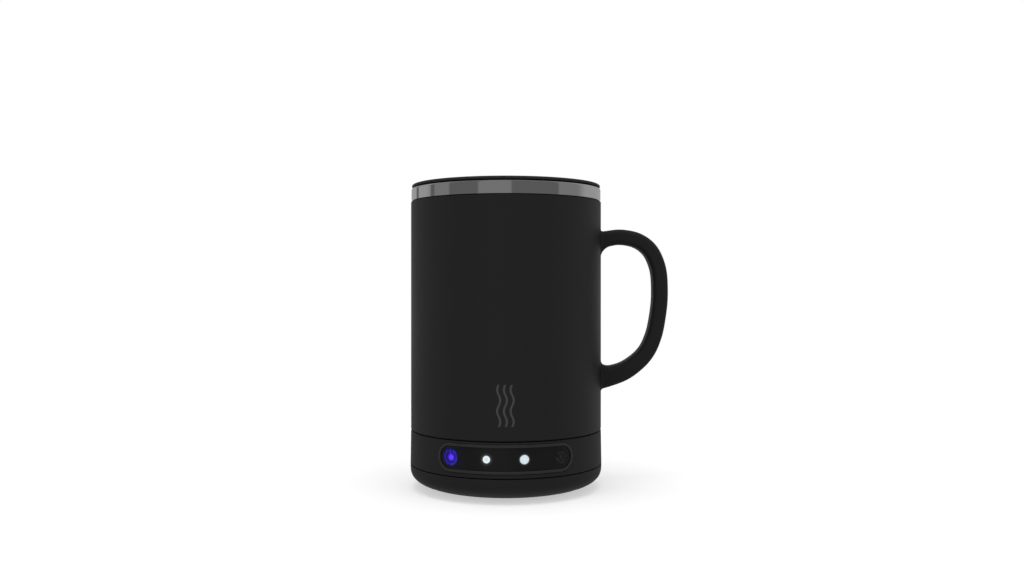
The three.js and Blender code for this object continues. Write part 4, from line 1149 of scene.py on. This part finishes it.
def make_floor():
    """Pale floor that shows only to the camera, keeps the shadow and fades into the white."""
    deselect()
    bpy.ops.mesh.primitive_circle_add(vertices=96, radius=3, fill_type="NGON",
                                      location=(0, 0, -FLOOR_DROP))
    floor = settle(added("floor"))
    paint = Finish("pale_floor", {"Base Color": shade(188), "Roughness": 0.9,
                                  "Specular IOR Level": 0.0})
    x, y, _ = paint.axes()
    far = across(x, y).between(180, 520)
    path = paint.node("LightPath", out="Is Camera Ray")
    facing = paint.node("NewGeometry", out="Backfacing")
    white, lift = [paint.node("Emission", {"Color": shade(255), "Strength": strength})
                   for strength in (1, FLOOR_LIFT)]
    lifted = paint.node("AddShader", {0: Field(paint, paint.shader.outputs[0]), 1: lift})
    faded = paint.node("MixShader", {0: far, 1: lifted, 2: white})
    clear = paint.node("BsdfTransparent")
    paint.show(paint.node("MixShader", {0: path * (1 - facing), 1: clear, 2: faded}))
    floor.data.materials.append(paint.material)
    unseen(floor, "diffuse", "glossy", "transmission", "shadow")


# Dark flats before the walls: the azimuths from the front between which each one stands.
DARK_FLATS = ((-135, -125), (-100, -90), (-70, -30), (5, 65))
# Levels that the flats, the walls and the walls behind the object show in steel.
FLAT_LEVEL, WALL_LEVEL, BACK_LEVEL = 85, 110, 140
# Share of the walls' light that the steel gives back.
STEEL_SHARE = 0.65
WALL_RADIUS = 0.7
WALL_HEIGHT = 2.8


def in_steel(level):
    """Colour of a wall that shows at a level in steel."""
    return [part / STEEL_SHARE for part in shade(level)[:3]] + [1]


def make_surround():
    """Grey studio walls that show only in reflections.

    Low down they are dark and pale strips for the steel ring, with a pale card at the back
    that the warming plate shows.
    """
    deselect()
    bpy.ops.mesh.primitive_cylinder_add(vertices=96, radius=WALL_RADIUS, depth=WALL_HEIGHT,
                                        end_fill_type="NGON")
    walls = settle(added("studio_walls"))
    paint = Finish("studio_grey")
    x, y, z = paint.axes()
    azimuth = x.sum("ARCTAN2", x, y * -1) * (180 / pi)
    dark = sum(azimuth.between(start, start + 3) * azimuth.within(end - 3, end)
               for start, end in DARK_FLATS)
    walls_tone = paint.tint(abs(azimuth).between(90, 110), in_steel(WALL_LEVEL),
                            in_steel(BACK_LEVEL))
    strips = paint.tint(dark, shade(235), shade(45))
    card = abs(x).between(95, 75) * y.between(0, 100) * z.between(92, 106) * z.between(147, 134)
    end = WALL_HEIGHT / 2 / MM
    tone = paint.layered(walls_tone, (dark, in_steel(FLAT_LEVEL)),
                         (z.between(25, 35) * z.within(95, 105), strips), (card, shade(298)),
                         (z.between(end - 20, end - 2), shade(150)),
                         (z.between(20 - end, 2 - end), shade(200)))
    paint.show(paint.node("Emission", {"Color": tone, "Strength": 1.0}))
    walls.data.materials.append(paint.material)
    unseen(walls, "camera", "diffuse", "transmission", "shadow")


def make_world():
    """White to the camera and in reflections, and a soft even light on everything."""
    world = Finish("studio_white", {"Color": shade(255)}, bpy.data.worlds, "Background")
    seen = world.node("LightPath", out="Is Camera Ray")
    for rays in ("Is Glossy Ray", "Is Transmission Ray"):
        seen = seen.sum("MAXIMUM", seen, world.node("LightPath", out=rays))
    level = {"Value": seen, "To Min": SOFT_LEVEL, "To Max": 1}
    world.set({"Strength": world.node("MapRange", level)})
    bpy.context.scene.world = world.material


def make_lamp(name, place, size, power):
    """Round soft lamp that faces the object and shows in no reflection."""
    deselect()
    bpy.ops.object.light_add(type="AREA", location=place)
    lamp = bpy.context.active_object
    lamp.name = name
    lamp.data.shape = "DISK"
    lamp.data.size = size
    lamp.data.energy = power
    lamp.rotation_euler = (Vector((0, 0, 0.08)) - Vector(place)).to_track_quat("-Z", "Y").to_euler()
    unseen(lamp, "camera", "glossy")


def make_camera():
    """Camera with its place and lens, in millimetres, fitted to the photograph's proportions."""
    place, lens, sensor = (2.65, -431.2, 87.34), 34.1, 36
    deselect()
    bpy.ops.object.camera_add(location=[part * MM for part in place], rotation=(pi / 2, 0, 0))
    camera = bpy.context.active_object
    camera.name = "front_camera"
    camera.data.sensor_width = sensor
    camera.data.lens = lens
    camera.data.clip_start = 0.01
    bpy.context.scene.camera = camera


make_floor()
make_surround()
make_world()
make_lamp("top_softbox", (0, -0.1, 1.1), 0.9, 6.5)
make_lamp("left_softbox", (-0.9, -0.7, 0.5), 0.7, 1.6)
make_lamp("right_softbox", (0.9, -0.7, 0.5), 0.7, 1.6)
make_camera()
bpy.context.scene.view_settings.view_transform = "Standard"
